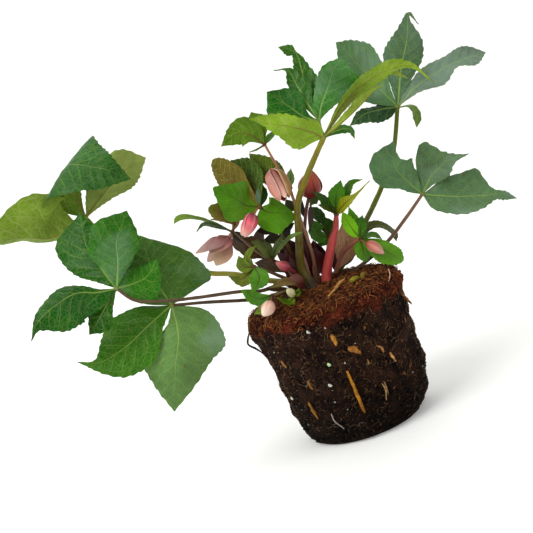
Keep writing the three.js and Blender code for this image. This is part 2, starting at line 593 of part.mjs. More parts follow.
// A blade: a thin plate that is bent along its midrib and folded about it. Both faces are split
// alike into a fan of three triangles for each tooth on each side.
function blade(plan, margin, start) {
  const { from = start, face, left, right, fold = [0, 0], cup = [0, 0], sweep = [0, 0] } = plan;
  const rib = from ? [from, ...plan.rib] : plan.rib;
  const curve = smooth(rib.map(vector));
  const looks = face.length > 1 ? smooth(face.map(vector)) : null;
  const outline = [left, right].map((side) =>
    smooth([0, ...side, 0].map((w) => new THREE.Vector3(w, 0, 0))));
  const teeth = THREE.MathUtils.clamp(
    Math.round(curve.getLength() / margin.spacing), margin.fewest, margin.most);

  // Where the surface lies at u along the midrib, on the midrib or on a margin (side -1 or 1).
  const place = (u, side, tooth) => {
    const along = curve.getTangent(u);
    const look = looks ? looks.getPoint(u) : vector(face[0]);
    const across = along.clone().cross(look).normalize();
    const up = across.clone().cross(along);
    const at = curve.getPoint(u);
    if (side === 0) {
      return [at.clone().addScaledVector(up, BLADE_THICKNESS / 2),
        at.addScaledVector(up, -BLADE_THICKNESS / 2)];
    }
    const half = side < 0 ? 0 : 1;
    const full = outline[half].getPoint(u).x;
    const cut = tooth * margin.bite * 0.5 * Math.min(1, full / 4);
    const width = Math.max(full + cut, BLADE_FOOT * (1 - u), BLADE_TIP);
    const turn = THREE.MathUtils.degToRad(fold[half] + cup[half] / 2);
    at.addScaledVector(along, width * sweep[half])
      .addScaledVector(across, side * width * Math.cos(turn))
      .addScaledVector(up, width * Math.sin(turn));
    const normal = up.clone().multiplyScalar(Math.cos(turn))
      .addScaledVector(across, -side * Math.sin(turn));
    return [at.clone().addScaledVector(normal, BLADE_THICKNESS / 2),
      at.addScaledVector(normal, -BLADE_THICKNESS / 2)];
  };

  const middle = [];
  for (let i = 0; i <= teeth; i++) {
    middle.push(place(i / teeth, 0, 0));
  }
  const triangles = [];
  for (const side of [-1, 1]) {
    const push = (a, b, c) => triangles.push(side > 0 ? [a, b, c] : [a, c, b]);
    const both = (a, b, c) => {
      push(a[0], b[0], c[0]);
      push(a[1], c[1], b[1]);
    };
    const wall = (a, b) => {
      push(a[0], a[1], b[1]);
      push(a[0], b[1], b[0]);
    };
    const edge = [];
    for (let j = 0; j <= 2 * teeth; j++) {
      const step = Math.floor(j / 2);
      const u = j % 2 === 0 ? step / teeth : (step + TOOTH_PEAK) / teeth;
      const inner = j > 0 && j < 2 * teeth;
      edge.push(place(u, side, inner ? (j % 2 === 0 ? -1 : 1) : 0));
    }
    for (let i = 0; i < teeth; i++) {
      const notch = edge[2 * i];
      const peak = edge[2 * i + 1];
      both(middle[i], peak, middle[i + 1]);
      both(middle[i], notch, peak);
      both(middle[i + 1], peak, edge[2 * i + 2]);
      wall(notch, peak);
      wall(peak, edge[2 * i + 2]);
    }
    wall(middle[0], edge[0]);
    wall(edge[2 * teeth], middle[teeth]);
  }
  return solid(facets(triangles));
}

// Two directions square to an axis, right-handed about it.
function around(axis) {
  const first = axis.clone().cross(new THREE.Vector3(0.3, 0.9, 0.1)).normalize();
  return [first, axis.clone().cross(first)];
}

// A closed bud: an egg-shaped form whose five sepals lap over each other as steps round it.
function bud({ base, tip, radius }) {
  const SEPALS = 5;
  const SIDES = 15;
  const RINGS = 5;
  const LAP = 0.14;
  const axis = vector(tip).sub(vector(base));
  const length = axis.length();
  axis.normalize();
  const [e1, e2] = around(axis);
  const rings = [];
  for (let k = 0; k <= RINGS; k++) {
    const t = 0.98 * (k / RINGS);
    const girth = radius * (0.18 * (1 - t) + Math.sin(Math.PI * t ** 0.8) ** 0.75);
    const ring = [];
    for (let i = 0; i < SIDES; i++) {
      const turn = i / SIDES;
      const lap = (turn * SEPALS + 0.6 * t) % 1;
      const r = girth * (1 - LAP * lap * Math.sin(Math.PI * t));
      ring.push(vector(base).addScaledVector(axis, length * t)
        .addScaledVector(e1, r * Math.cos(2 * Math.PI * turn))
        .addScaledVector(e2, r * Math.sin(2 * Math.PI * turn)));
    }
    rings.push(ring);
  }
  return loft(rings);
}

// A half-open flower: five sepals in a bell round a boss of stamens, three of them outermost.
function bell({ base, tip, radius }) {
  const REACH = [1, 0.86, 1, 0.86, 0.93];
  const axis = vector(tip).sub(vector(base));
  const length = axis.length();
  axis.normalize();
  const [e1, e2] = around(axis);
  const boss = vector(base).addScaledVector(axis, length * 0.6);
  let flower = tube({ path: [base, boss.toArray()], radius: [radius * 0.22, radius * 0.42] });
  REACH.forEach((reach, k) => {
    const angle = (k / REACH.length) * Math.PI * 2;
    const out = e1.clone().multiplyScalar(Math.cos(angle)).addScaledVector(e2, Math.sin(angle));
    const at = (t, r) => vector(base).addScaledVector(axis, length * t)
      .addScaledVector(out, radius * reach * r).toArray();
    flower = flower.add(blade({
      rib: [at(0, 0.1), at(0.22, 0.8), at(0.6, 1), at(1, 0.42)],
      face: [out.toArray()],
      left: [radius * 0.52, radius * 0.76, radius * 0.48],
      right: [radius * 0.52, radius * 0.76, radius * 0.48],
      cup: [-64, -64],
    }, MARGINS.plain));
  });
  return flower;
}

// How far the soil stands out of the plain cone at an angle and height: lumps of peat between
// the roots, fuller low on the right, hollower half-way down on the left.
function relief(angle, z) {
  const lumps = 1.1 * Math.sin(3 * angle + 0.05 * z) + 0.8 * Math.sin(7 * angle - 0.11 * z + 1)
    + 0.6 * Math.sin(12 * angle + 0.21 * z + 2) + 0.5 * Math.sin(5 * angle - 0.3 * z);
  const full = 3.5 * Math.exp(-(((z - 22) / 22) ** 2)) * Math.max(0, Math.cos(angle));
  const hollow = 2.5 * Math.exp(-(((z - 72) / 18) ** 2)) * Math.max(0, -Math.cos(angle));
  return lumps + full - hollow;
}

function rootBall() {
  const ringAt = (r, z, rough) => {
    const ring = [];
    for (let i = 0; i < BALL_SIDES; i++) {
      const angle = (i / BALL_SIDES) * Math.PI * 2;
      const reach = r + rough * relief(angle, z);
      const lift = rough === 0 ? 0 : 0.6 * relief(angle + 1, r * 2) * (1 - rough);
      ring.push(new THREE.Vector3(reach * Math.cos(angle), reach * Math.sin(angle), z + lift));
    }
    return ring;
  };
  const rings = [ringAt(BALL_FLAT_RADIUS, 0, 0), ringAt(BALL_BOTTOM_RADIUS - 2.5, 3, 0.5)];
  for (let k = 1; k <= BALL_STEPS; k++) {
    const t = k / (BALL_STEPS + 0.4);
    const r = THREE.MathUtils.lerp(BALL_BOTTOM_RADIUS, BALL_TOP_RADIUS, t);
    rings.push(ringAt(r, BALL_HEIGHT * t, 1));
  }
  for (const share of [0.94, 0.78, 0.55, 0.32, 0.12]) {
    const rise = BALL_DOME * (1 - share * share);
    rings.push(ringAt(BALL_TOP_RADIUS * share, BALL_HEIGHT + rise, 0.25));
  }
  return loft(rings);
}

// Thick roots that show on the flanks, half sunk in the soil: the angle, the lowest and highest
// point, and how far they swing round the ball.
const ROOTS = [
  { turn: 175, low: 38, high: 74, swing: 14 },
  { turn: 250, low: 12, high: 60, swing: -20 },
  { turn: 40, low: 20, high: 70, swing: 18 },
];
const ROOT_RADIUS = 1.3;

function root({ turn, low, high, swing }) {
  const path = [];
  for (let k = 0; k <= 4; k++) {
    const z = THREE.MathUtils.lerp(low, high, k / 4);
    const angle = THREE.MathUtils.degToRad(turn + swing * Math.sin(k * 1.3));
    const cone = THREE.MathUtils.lerp(BALL_BOTTOM_RADIUS, BALL_TOP_RADIUS, z / BALL_HEIGHT);
    const reach = cone + relief(angle, z) + (k % 4 === 0 ? -2 : 0.3);
    path.push([reach * Math.cos(angle), reach * Math.sin(angle), z]);
  }
  return tube({ path, radius: [ROOT_RADIUS, ROOT_RADIUS] });
}

const join = (solids) => solids.reduce((whole, piece) => whole.add(piece));

// The biggest piece of a solid: a scrap that a cut leaves loose is dropped.
function main(shape) {
  return shape.decompose().sort((a, b) => b.volume() - a.volume())[0];
}

function mesh(name, shape, finish) {
  const made = shape.getMesh();
  const geometry = new THREE.BufferGeometry();
  geometry.setAttribute('position', new THREE.BufferAttribute(made.vertProperties, 3));
  geometry.setIndex(new THREE.BufferAttribute(made.triVerts, 1));
  geometry.computeVertexNormals();
  const [color, roughness] = FINISHES[finish];
  const material = new THREE.MeshStandardMaterial({ color, roughness, metalness: 0 });
  const object = new THREE.Mesh(geometry, material);
  object.name = name;
  return object;
}

const plant = new THREE.Group();
const cutters = [];
for (const shoot of SHOOTS) {
  const { name, finish, stem, branches = [], sheaths = [], clusters = [] } = shoot;
  const runs = [stem, ...branches];
  const cutter = join(runs.map((run) => tube(run, GAP)));
  let stalk = join([...runs.map((run) => tube(run)),
    ...sheaths.map((plan) => blade(plan, MARGINS.plain))]);
  cutters.push(cutter);
  for (const cluster of clusters) {
    const hub = ball(cluster.hub, cluster.radius);
    const margin = cluster.finish.startsWith('leaf') ? MARGINS.leaf : MARGINS.bract;
    let leaves = join(cluster.blades.map((plan) => blade(plan, margin, cluster.hub)));
    const stalks = cluster.stalks ?? [];
    if (cluster.collar) {
      leaves = main(leaves.add(hub).subtract(cutter));
    } else {
      leaves = main(join([leaves.subtract(cutter), hub, ...stalks.map((run) => tube(run))]));
      stalk = main(stalk.subtract(ball(cluster.hub, cluster.radius + GAP)));
    }
    cutters.push(...stalks.map((run) => tube(run, GAP)));
    plant.add(mesh(cluster.name, leaves, cluster.finish));
  }
  plant.add(mesh(name, stalk, finish));
}

const allCutters = join(cutters);
for (const flower of FLOWERS) {
  const shape = main(flower.form(flower).subtract(allCutters));
  plant.add(mesh(flower.name, shape, flower.finish));
}
const bloom = join([ball(BLOOM_HUB, BLOOM_HUB_RADIUS),
  ...BLOOM_PETALS.map((plan) => blade(plan, MARGINS.plain, BLOOM_HUB))]);
plant.add(mesh('bloom_4', bloom, 'petalPink'));

const soil = join([rootBall(), ...ROOTS.map(root)]).subtract(allCutters);
plant.add(mesh('root_ball', main(soil), 'soil'));

export default plant;
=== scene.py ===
import bpy
import numpy as np
from mathutils import Matrix, Vector


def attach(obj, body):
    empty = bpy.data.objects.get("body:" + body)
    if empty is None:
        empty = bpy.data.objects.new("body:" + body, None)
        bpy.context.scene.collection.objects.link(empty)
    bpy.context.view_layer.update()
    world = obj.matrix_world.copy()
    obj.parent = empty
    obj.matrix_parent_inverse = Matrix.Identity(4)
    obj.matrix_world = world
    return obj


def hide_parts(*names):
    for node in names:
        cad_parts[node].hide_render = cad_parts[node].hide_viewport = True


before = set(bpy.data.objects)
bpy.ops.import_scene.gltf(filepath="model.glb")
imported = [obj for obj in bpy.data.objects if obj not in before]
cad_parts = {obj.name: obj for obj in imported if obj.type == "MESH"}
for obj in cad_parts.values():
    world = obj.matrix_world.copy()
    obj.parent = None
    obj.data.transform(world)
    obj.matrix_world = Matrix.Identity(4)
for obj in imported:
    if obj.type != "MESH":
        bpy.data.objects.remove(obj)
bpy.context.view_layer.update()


# ---------------------------------------------------------------------------------------------
# Root ball
# Damp black peat that the roots hold in the shape of a tapered round pot, with a redder band of
# coir and bark fibre round the rim. It stands on its flat underside; nothing is fixed to it.
# ---------------------------------------------------------------------------------------------

def linear(code):
    """Linear RGB from an sRGB hex colour: each channel c becomes ((c + 0.055) / 1.055) ** 2.4,
    or c / 12.92 where it is darker than 0.04045."""
    c = np.array([int(code[i:i + 2], 16) for i in (1, 3, 5)]) / 255
    return np.where(c > 0.04045, ((c + 0.055) / 1.055) ** 2.4, c / 12.92)


def rgba(code):
    """The same colour as the four numbers that a node's socket takes."""
    return (*linear(code), 1.0)


def blended(first, last, share):
    """Colours between two hex colours, share 0 to 1 of the way, as an array of linear RGB."""
    return linear(first) + (linear(last) - linear(first)) * np.asarray(share)[..., None]


def unit(v):
    """Vectors divided by their lengths."""
    return v / np.maximum(np.linalg.norm(v, axis=-1, keepdims=True), 1e-9)


def grid(x, y, z):
    """Three coordinates as one array of points, each spread over the shape of the others."""
    return np.stack(np.broadcast_arrays(x, y, z), -1)


def circled(first, second, turn):
    """Vectors turned in the plane of first and second: first times the cosine of the angle plus
    second times its sine."""
    return first * np.cos(turn)[..., None] + second * np.sin(turn)[..., None]


def turns(count):
    """The angles of this many points spread evenly round a circle, in radians."""
    return np.linspace(0, 2 * np.pi, count, endpoint=False)


def spline(points, u):
    """Points on the uniform Catmull-Rom curve through the given points, u from 0 to 1: a cubic
    between each pair, with each end point mirrored to give the curve its end slopes."""
    p = np.asarray(points, float)
    p = np.vstack([2 * p[0] - p[1], p, 2 * p[-1] - p[-2]])
    t = np.clip(np.asarray(u, float), 0, 1) * (len(p) - 3)
    i = np.minimum(t.astype(int), len(p) - 4)
    s = (t - i)[..., None]
    a, b, c, d = p[i], p[i + 1], p[i + 2], p[i + 3]
    return 0.5 * (2 * b + (c - a) * s + (2 * a - 5 * b + 4 * c - d) * s**2
                  + (3 * b - a - 3 * c + d) * s**3)


def lumps(points, size, seed):
    """Uneven relief from -1 to 1: the mean of 14 sine waves of random direction and phase, each
    0.7 to 1.6 times size millimetres long, taken at each point and scaled up to fill the range."""
    count = 14
    rng = np.random.default_rng(seed)
    ways = unit(rng.normal(size=(count, 3))) * 2 * np.pi
    ways = ways / (size * rng.uniform(0.7, 1.6, (count, 1)))
    waves = np.sin(points @ ways.T + rng.uniform(0, 2 * np.pi, count))
    return np.clip(waves.mean(axis=-1) * 2.6, -1, 1)


def skin(rings):
    """Faces over rings of points, (count, along, round, 3): quads between one ring and the next,
    the last point of a ring joined to its first, and a fan about a middle point at each end. The
    rings turn right-handed about the way they run. Returns points, quads and triangles."""
    n, k, m = rings.shape[:3]
    number = np.arange(n * k * m).reshape(n, k, m)
    turned = np.roll(number, -1, axis=2)
    quads = np.stack([number[:, :-1], turned[:, :-1], turned[:, 1:], number[:, 1:]], -1)
    ends = n * k * m + np.arange(2 * n).reshape(2, n, 1)
    foot = np.stack([ends[0] + 0 * number[:, 0], turned[:, 0], number[:, 0]], -1)
    tip = np.stack([ends[1] + 0 * number[:, -1], number[:, -1], turned[:, -1]], -1)
    return with_ends(rings), quads.reshape(-1, 4), np.concatenate([foot, tip]).reshape(-1, 3)


def bundled(values):
    """Values of one set of rings, or of several, as (count, along, round, channels)."""
    return values.reshape(-1, *values.shape[-3:])


def with_ends(values):
    """A value for each ring point, (count, along, round, channels), in the order of skin's
    points: all the rings, then the mean of each first ring, then of each last."""
    flat = values.reshape(-1, values.shape[-1])
    return np.concatenate([flat, values[:, 0].mean(axis=1), values[:, -1].mean(axis=1)])


# A metre in millimetres, in which the plant is drawn. A pattern's scale is METRE over its size.
METRE = 1000


def in_scene(name, data):
    """A new object with this mesh, light or camera, linked to the scene."""
    made = bpy.data.objects.new(name, data)
    bpy.context.scene.collection.objects.link(made)
    return made


def piece(name, parts, material, slot, *nodes):
    """One object of the plant from its parts, each a pair: rings of points in millimetres, and
    marks, a value for each point under each mark's name, which become the mesh's attributes."""
    points, quads, triangles, count = [], [], [], 0
    for rings, marks in parts:
        p, q, t = skin(bundled(rings))
        points.append(p)
        quads.append(q + count)
        triangles.append(t + count)
        count += len(p)
    points, quads, triangles = map(np.concatenate, (points, quads, triangles))
    mesh = bpy.data.meshes.new(name)
    mesh.vertices.add(len(points))
    mesh.vertices.foreach_set("co", (points / METRE).ravel())
    corners = np.concatenate([quads.ravel(), triangles.ravel()])
    mesh.loops.add(len(corners))
    mesh.loops.foreach_set("vertex_index", corners)
    starts = np.concatenate([4 * np.arange(len(quads)),
                             4 * len(quads) + 3 * np.arange(len(triangles))])
    mesh.polygons.add(len(starts))
    mesh.polygons.foreach_set("loop_start", starts)
    mesh.polygons.foreach_set("use_smooth", np.ones(len(starts), bool))
    mesh.update(calc_edges=True)
    for mark in parts[0][1]:
        values = np.concatenate([with_ends(bundled(marks[mark])) for rings, marks in parts])
        layer = mesh.attributes.new(mark, "FLOAT_VECTOR", "POINT")
        layer.data.foreach_set("vector", values.ravel())
    mesh.materials.append(material)
    made = in_scene(name, mesh)
    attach(made, "root")
    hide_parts(*nodes)


def feed(node, inputs):
    """Sets a node's inputs, given in order or by name: each a constant, or the output of another
    node, which is linked."""
    named = inputs if isinstance(inputs, dict) else dict(enumerate(inputs))
    for key, value in named.items():
        if isinstance(value, bpy.types.NodeSocket):
            node.id_data.links.new(value, node.inputs[key])
        else:
            node.inputs[key].default_value = value


def add(tree, kind, inputs=(), **settings):
    """Adds a node with these inputs, and with settings as its own properties. Returns its
    outputs."""
    made = tree.nodes.new("ShaderNode" + kind)
    for key, value in settings.items():
        setattr(made, key, value)
    feed(made, inputs)
    return made.outputs


def surface(name, **constants):
    """A new material of one Principled shader with these constants on its sockets. Returns the
    material, its node tree and the shader."""
    material = bpy.data.materials.new(name)
    material.use_nodes = True
    tree = material.node_tree
    shader = tree.nodes["Principled BSDF"]
    feed(shader, {key.replace("_", " "): value for key, value in constants.items()})
    return material, tree, shader


# How two colours are mixed: blended by a share, or one multiplied by the other.
BLEND = dict(data_type="RGBA")
TIMES = dict(data_type="RGBA", blend_type="MULTIPLY")

# The ball's profile from the middle of the underside to the middle of the top, in millimetres:
# radius, height, and how much of the soil's relief each point takes.
FLAT_RADIUS = 39
PROFILE_RADIUS = np.array([0, FLAT_RADIUS, 43, 47.05, 57.9, 55, 45.6, 32.2, 18.7, 7, 0])
PROFILE_HEIGHT = np.array([0, 0, 3, 11.9, 95.2, 100.9, 103.1, 105.6, 107.2, 107.9, 108])
PROFILE_ROUGH = np.array([0, 0, 0.5, 1, 1, 0.25, 0.25, 0.25, 0.25, 0.25, 0.25])
PROFILE_LENGTH = np.concatenate([[0], np.cumsum(np.hypot(np.diff(PROFILE_RADIUS),
                                                         np.diff(PROFILE_HEIGHT)))])
RIM = PROFILE_LENGTH[4]
CENTRE = PROFILE_LENGTH[-1]
ROUND = 360          # points round the ball


def relief(angle, z):
    """How far the soil stands out of the plain cone: four waves round and up the ball, fuller by
    a bell curve low on the right, hollower by another half-way down on the left."""
    waves = (1.1 * np.sin(3 * angle + 0.05 * z) + 0.8 * np.sin(7 * angle - 0.11 * z + 1)
             + 0.6 * np.sin(12 * angle + 0.21 * z + 2) + 0.5 * np.sin(5 * angle - 0.3 * z))
    full = 3.5 * np.exp(-((z - 22) / 22) ** 2) * np.maximum(0, np.cos(angle))
    hollow = 2.5 * np.exp(-((z - 72) / 18) ** 2) * np.maximum(0, -np.cos(angle))
    return waves + full - hollow


def on_ball(angle, length, lift=0.0):
    """Points of the ball's skin: the profile at this length from the middle of the underside,
    turned to this angle, moved out by the relief, and stood off by lift square to the profile."""
    radius = lambda at: np.interp(at, PROFILE_LENGTH, PROFILE_RADIUS)
    height = lambda at: np.interp(at, PROFILE_LENGTH, PROFILE_HEIGHT)
    rise = height(length + 2) - height(length - 2)
    run = radius(length - 2) - radius(length + 2)
    slope = unit(np.stack(np.broadcast_arrays(rise, run), -1))
    z = height(length)
    reach = radius(length) + relief(angle, z) * np.interp(length, PROFILE_LENGTH, PROFILE_ROUGH)
    reach = reach + lift * slope[..., 0]
    return grid(reach * np.cos(angle), reach * np.sin(angle), z + lift * slope[..., 1])


def hanks(paths, radius, sides):
    """Round threads: about each point of paths (count, along, 3) a ring of this many sides and
    this radius (count, along), square to the path, its first point turned away from the axis."""
    ahead = unit(np.gradient(paths, axis=1))
    out = unit(paths * (1, 1, 0) + (0, 0, 1e-3))
    first = unit(out - (out * ahead).sum(-1, keepdims=True) * ahead)
    second = np.cross(ahead, first)
    ring = circled(first[:, :, None], second[:, :, None], turns(sides))
    return paths[:, :, None] + ring * radius[:, :, None, None]


def threads(count, lengths, starts, lean, radius, lift, curl, seed, steps, sides):
    """Threads that wander over the ball's skin: each starts at a random angle and height, runs a
    random length at a random lean from straight up, swings to its sides by two sine waves, and
    rises off the skin in an arch. Returns their rings, how far along each is, 0 to 1, and the
    random numbers that come next."""
    rng = np.random.default_rng(seed)
    one = lambda a, b: rng.uniform(a, b, (count, 1))
    s = np.linspace(0, 1, steps)
    run = one(*lengths)
    way = np.radians(one(*lean)) * np.where(rng.random((count, 1)) < 0.5, -1, 1)
    bend = curl * (np.sin(2 * np.pi * (one(0.4, 1.2) * s + one(0, 1)))
                   + 0.5 * np.sin(2 * np.pi * (one(1.4, 2.6) * s + one(0, 1))))
    start = one(*starts)
    up = start + run * s * np.cos(way) + bend * np.sin(way)
    side = run * s * np.sin(way) - bend * np.cos(way)
    up = np.clip(up, FLAT_RADIUS + 1, CENTRE - 3)
    angle = one(0, 2 * np.pi) + side / np.maximum(np.interp(up, PROFILE_LENGTH, PROFILE_RADIUS), 9)
    arch = one(0.1, 1) * lift * np.sin(np.pi * s) ** 0.8 - 0.25
    girth = one(0.6, 1.25) * radius * (1 - 0.55 * s**3)
    return hanks(on_ball(angle, up, arch), girth, sides), s, rng


# The soil's skin: lumps of 7 mm, and crumbs of 3 mm where two finer reliefs agree, which fade
# out towards the flat underside.
turn = turns(ROUND)
rows = np.concatenate([np.linspace(2, FLAT_RADIUS, 10), np.linspace(FLAT_RADIUS + 1, RIM, 90),
                       np.linspace(RIM + 0.8, CENTRE - 1.5, 52)])[:, None]
soil = on_ball(turn, rows)
crumbs = lumps(soil, 7, 1) * 0.9 + lumps(soil, 2.8, 2) * lumps(soil, 3.3, 4) * 1.3
crumbs = crumbs * np.clip((rows - FLAT_RADIUS) / 4, 0, 1)
soil = soil + unit(soil * (1, 1, 0.15)) * crumbs[..., None]
soil = soil + (0, 0, 1) * (lumps(soil, 7, 3) * np.clip((rows - RIM) / 6, 0, 1))[..., None]
soil[..., 2] = np.maximum(soil[..., 2], 0)

# Damp peat: matt, from near black to brown in uneven patches, redder in the band of coir below the
# rim, and with painted shade that darkens it towards the foot.
peat, tree, shader = surface("damp peat", Roughness=0.92, Specular_IOR_Level=0.08)
place = add(tree, "TexCoord")["Object"]
axes = add(tree, "SeparateXYZ", [place])
broad = add(tree, "TexNoise", dict(Vector=place, Scale=METRE / 11.1, Detail=3))["Fac"]
fine = add(tree, "TexNoise", dict(Vector=place, Scale=METRE / 1.92, Detail=4, Roughness=0.65))["Fac"]
crumb = add(tree, "TexVoronoi", dict(Vector=place, Scale=METRE / 2.38))["Distance"]
mixed = add(tree, "Math", [fine, broad], operation="ADD")[0]
shade = add(tree, "MapRange", [mixed, 0.82, 1.3])[0]
earth = add(tree, "Mix", dict(Factor=shade, A=rgba("#080404"), B=rgba("#3a2419")), **BLEND)["Result"]
husk = add(tree, "Mix", dict(Factor=shade, A=rgba("#180604"), B=rgba("#642817")), **BLEND)["Result"]
tilted = add(tree, "Math", [axes["X"], 0.055, axes["Z"]], operation="MULTIPLY_ADD")[0]
height = add(tree, "Math", [broad, 0.022, tilted], operation="MULTIPLY_ADD")[0]
band = add(tree, "MapRange", [height, 0.0995, 0.104])[0]
# Painted shade: the colour darkens towards the foot of the ball.
foot_shade = add(tree, "MapRange", [height, 0.02, 0.07, 0.16, 1.0])[0]
colour = add(tree, "Mix", dict(Factor=band, A=earth, B=husk), **BLEND)["Result"]
colour = add(tree, "Mix", dict(Factor=1.0, A=colour, B=foot_shade), **TIMES)["Result"]
rough = add(tree, "Math", [fine, crumb], operation="ADD")[0]
bump = add(tree, "Bump", dict(Height=rough, Strength=0.9, Distance=0.0012))["Normal"]
feed(shader, {"Base Color": colour, "Normal": bump})

piece("root_ball_soil", [(soil, {})], peat, "root_ball", "root_ball")

# Roots and fibres: matt, with the light along them; pale where young, tan and brown where old, and
# darkened towards the foot by painted shade.
fibre, tree, shader = surface("dry root and coir fibre", Roughness=0.7, Specular_IOR_Level=0.12)
tint = add(tree, "Attribute", attribute_name="tint")["Color"]
place = add(tree, "TexCoord")["Object"]
fleck = add(tree, "TexNoise", dict(Vector=place, Scale=METRE / 1.43, Detail=2))["Fac"]
shade = add(tree, "MapRange", [fleck, 0.35, 0.65, 0.62, 1.15])[0]
# Painted shade: the fibres darken towards the foot of the ball.
foot_shade = add(tree, "MapRange", [add(tree, "SeparateXYZ", [place])["Z"], 0.005, 0.055, 0.35, 1.0])[0]
shade = add(tree, "Math", [shade, foot_shade], operation="MULTIPLY")[0]
feed(shader, {"Base Color": add(tree, "Mix", dict(Factor=1.0, A=tint, B=shade), **TIMES)["Result"]})

# What is tangled in the soil. Each kind: how many, shortest and longest, between which lengths
# along the skin they start, least and most lean from upright in degrees, radius, how far off the
# skin they arch, how curly, the seed, points along, sides, and the two colours between which
# most are nearer the first.
LOW = FLAT_RADIUS + 1
TANGLE = dict(
    felt_of_roots=(2800, (2.5, 9), (LOW, RIM - 4), (0, 100), 0.14, 0.9, 0.8, 11, 6, 3,
                   "#140c09", "#a5805c"),
    bark_chips=(2500, (0.8, 2.6), (LOW + 1, RIM - 4), (0, 180), 0.45, 0.6, 0.1, 12, 4, 3,
                "#120a08", "#8c6340"),
    coir_band=(2400, (0.8, 3.2), (RIM - 4, RIM + 16), (0, 180), 0.5, 1.0, 0.3, 13, 4, 3,
               "#200a06", "#a4562e"),
    coir_on_top=(2300, (2, 9), (RIM + 3, CENTRE - 10), (0, 180), 0.3, 2.8, 1.6, 14, 7, 3,
                 "#220a05", "#b87239"),
    bark_on_top=(1500, (0.8, 2.8), (RIM + 2, CENTRE - 8), (0, 180), 0.5, 2.2, 0.2, 18, 4, 3,
                 "#160704", "#b06838"),
    white_roots=(44, (4, 13), (LOW + 2, RIM - 8), (10, 100), 0.15, 1.2, 1.2, 15, 9, 3,
                 "#8a7866", "#cfc3b2"),
    straw=(46, (1.5, 5), (LOW + 5, CENTRE - 16), (0, 60), 0.6, 0.6, 0.2, 16, 5, 5,
           "#7b4420", "#c08a44"),
    perlite=(40, (0.8, 1.5), (LOW + 5, RIM - 6), (0, 180), 0.45, 0.5, 0.0, 17, 5, 6,
             "#a8b49c", "#e4e8dc"),
)
for name, (*form, first, last) in TANGLE.items():
    rings, along, rng = threads(*form)
    share = np.clip(rng.beta(0.9, 2.2, (len(rings), 1)) + 0.15 * np.sin(5 * along), 0, 1)
    tone = np.repeat(blended(first, last, share)[:, :, None], rings.shape[2], axis=2)
    rings[..., 2] = np.maximum(rings[..., 2], 0.05)
    piece(name, [(rings, dict(tint=tone))], fibre, "root_ball", "root_ball")

# Bits that lie singly on the ball: straws, bark, a stub of an old stalk, moss, pale grit, and
# thick roots. Each: its route as three points (degrees round, millimetres along the skin), how
# far off the skin it starts, middles and ends, its radius, and its colour.
LITTER = [
    ((266, 97), (267, 80), (268, 64), (1.6, 1.4, 1.6), 1.0, "#b3781f"),
    ((228, 82), (228, 75), (228, 67), (1.2, 1.6, 1.2), 0.8, "#a8702a"),
    ((264, 125), (265, 121), (265, 117), (1.0, 1.8, 1.0), 1.1, "#a5702c"),
    ((272, 112), (276, 110), (280, 106), (1.0, 2.0, 1.0), 1.5, "#96602a"),
    ((288, 79), (289, 73), (288, 66), (1.0, 2.2, 1.0), 0.4, "#c9a06a"),
    ((290, 80), (290, 76), (291, 70), (1.0, 1.8, 1.2), 0.4, "#b58a58"),
    ((293, 106), (296, 103), (297, 99), (1.0, 1.8, 1.0), 0.6, "#9c6c40"),
    ((302, 97), (303, 93), (305, 89), (1.0, 2.0, 1.0), 0.7, "#b4824c"),
    ((217, 115), (218, 112), (219, 109), (1.0, 1.5, 1.0), 0.7, "#9a6a34"),
    ((233, 97), (234, 94), (235, 90), (1.0, 1.6, 1.0), 0.8, "#8a5a2c"),
    ((272, 158), (292, 168), (313, 175), (1.5, 3.4, 2.6), 0.9, "#b98648"),
    ((345, 148), (335, 146), (322, 142), (1.5, 4.0, 1.2), 0.35, "#c9a182"),
    ((330, 130), (334, 124), (338, 119), (1.0, 2.6, 3.4), 0.7, "#7a4a24"),
    ((243, 70), (244, 64), (247, 56), (1.0, 2.6, 1.0), 0.35, "#cdbfae"),
    ((186, 136), (184, 128), (178, 112), (0.6, 5.0, 0.4), 0.6, "#2a1a12"),
    ((33, 188), (30, 191), (20, 194), (1.0, 2.6, 2.0), 3.0, "#4a4634"),
    ((308, 168), (316, 166), (326, 167), (1.0, 2.2, 1.0), 1.7, "#8a8020"),
    ((322, 163), (330, 164), (338, 166), (1.0, 2.0, 1.0), 1.3, "#7a6a1c"),
    ((249, 133), (250, 132), (251, 131), (0.8, 1.2, 0.8), 0.7, "#c8d2c4"),
    ((254, 106), (255, 105), (256, 104), (0.8, 1.3, 0.8), 1.0, "#a9c08c"),
    ((250, 92), (251, 91), (252, 90), (0.8, 1.2, 0.8), 0.8, "#cfd6c0"),
    ((206, 85), (207, 84), (208, 83), (0.8, 1.2, 0.8), 0.7, "#d8dcd0"),
]
s = np.linspace(0, 1, 16)
parts = []
for k, (*route, lift, radius, tint) in enumerate(LITTER):
    way = spline(route, s)
    path = on_ball(np.radians(way[:, 0]), way[:, 1], np.interp(s, (0, 0.5, 1), lift))[None]
    girth = radius * (0.25 + np.sin(np.pi * np.clip(s, 0.03, 0.97)) ** 0.35)[None]
    rings = hanks(path, girth, 9)
    rings = rings + 0.3 * radius * lumps(rings, 2.4 * radius + 1.5, 60 + k)[..., None]
    parts.append((rings, dict(tint=linear(tint) * (1 + 0.35 * lumps(rings, 3, 90 + k)[..., None]))))
piece("litter", parts, fibre, "root_ball", "root_ball")


# ---------------------------------------------------------------------------------------------
# Leaves
# Six hand-shaped evergreen leaves, each a fleshy stalk from the crown that carries three to nine
# leathery leaflets on one joint. The leaflets are about half a millimetre thick, saw-toothed,
# sunk along the veins above and ribbed below. Stalk and leaflets are one growth.
# ---------------------------------------------------------------------------------------------

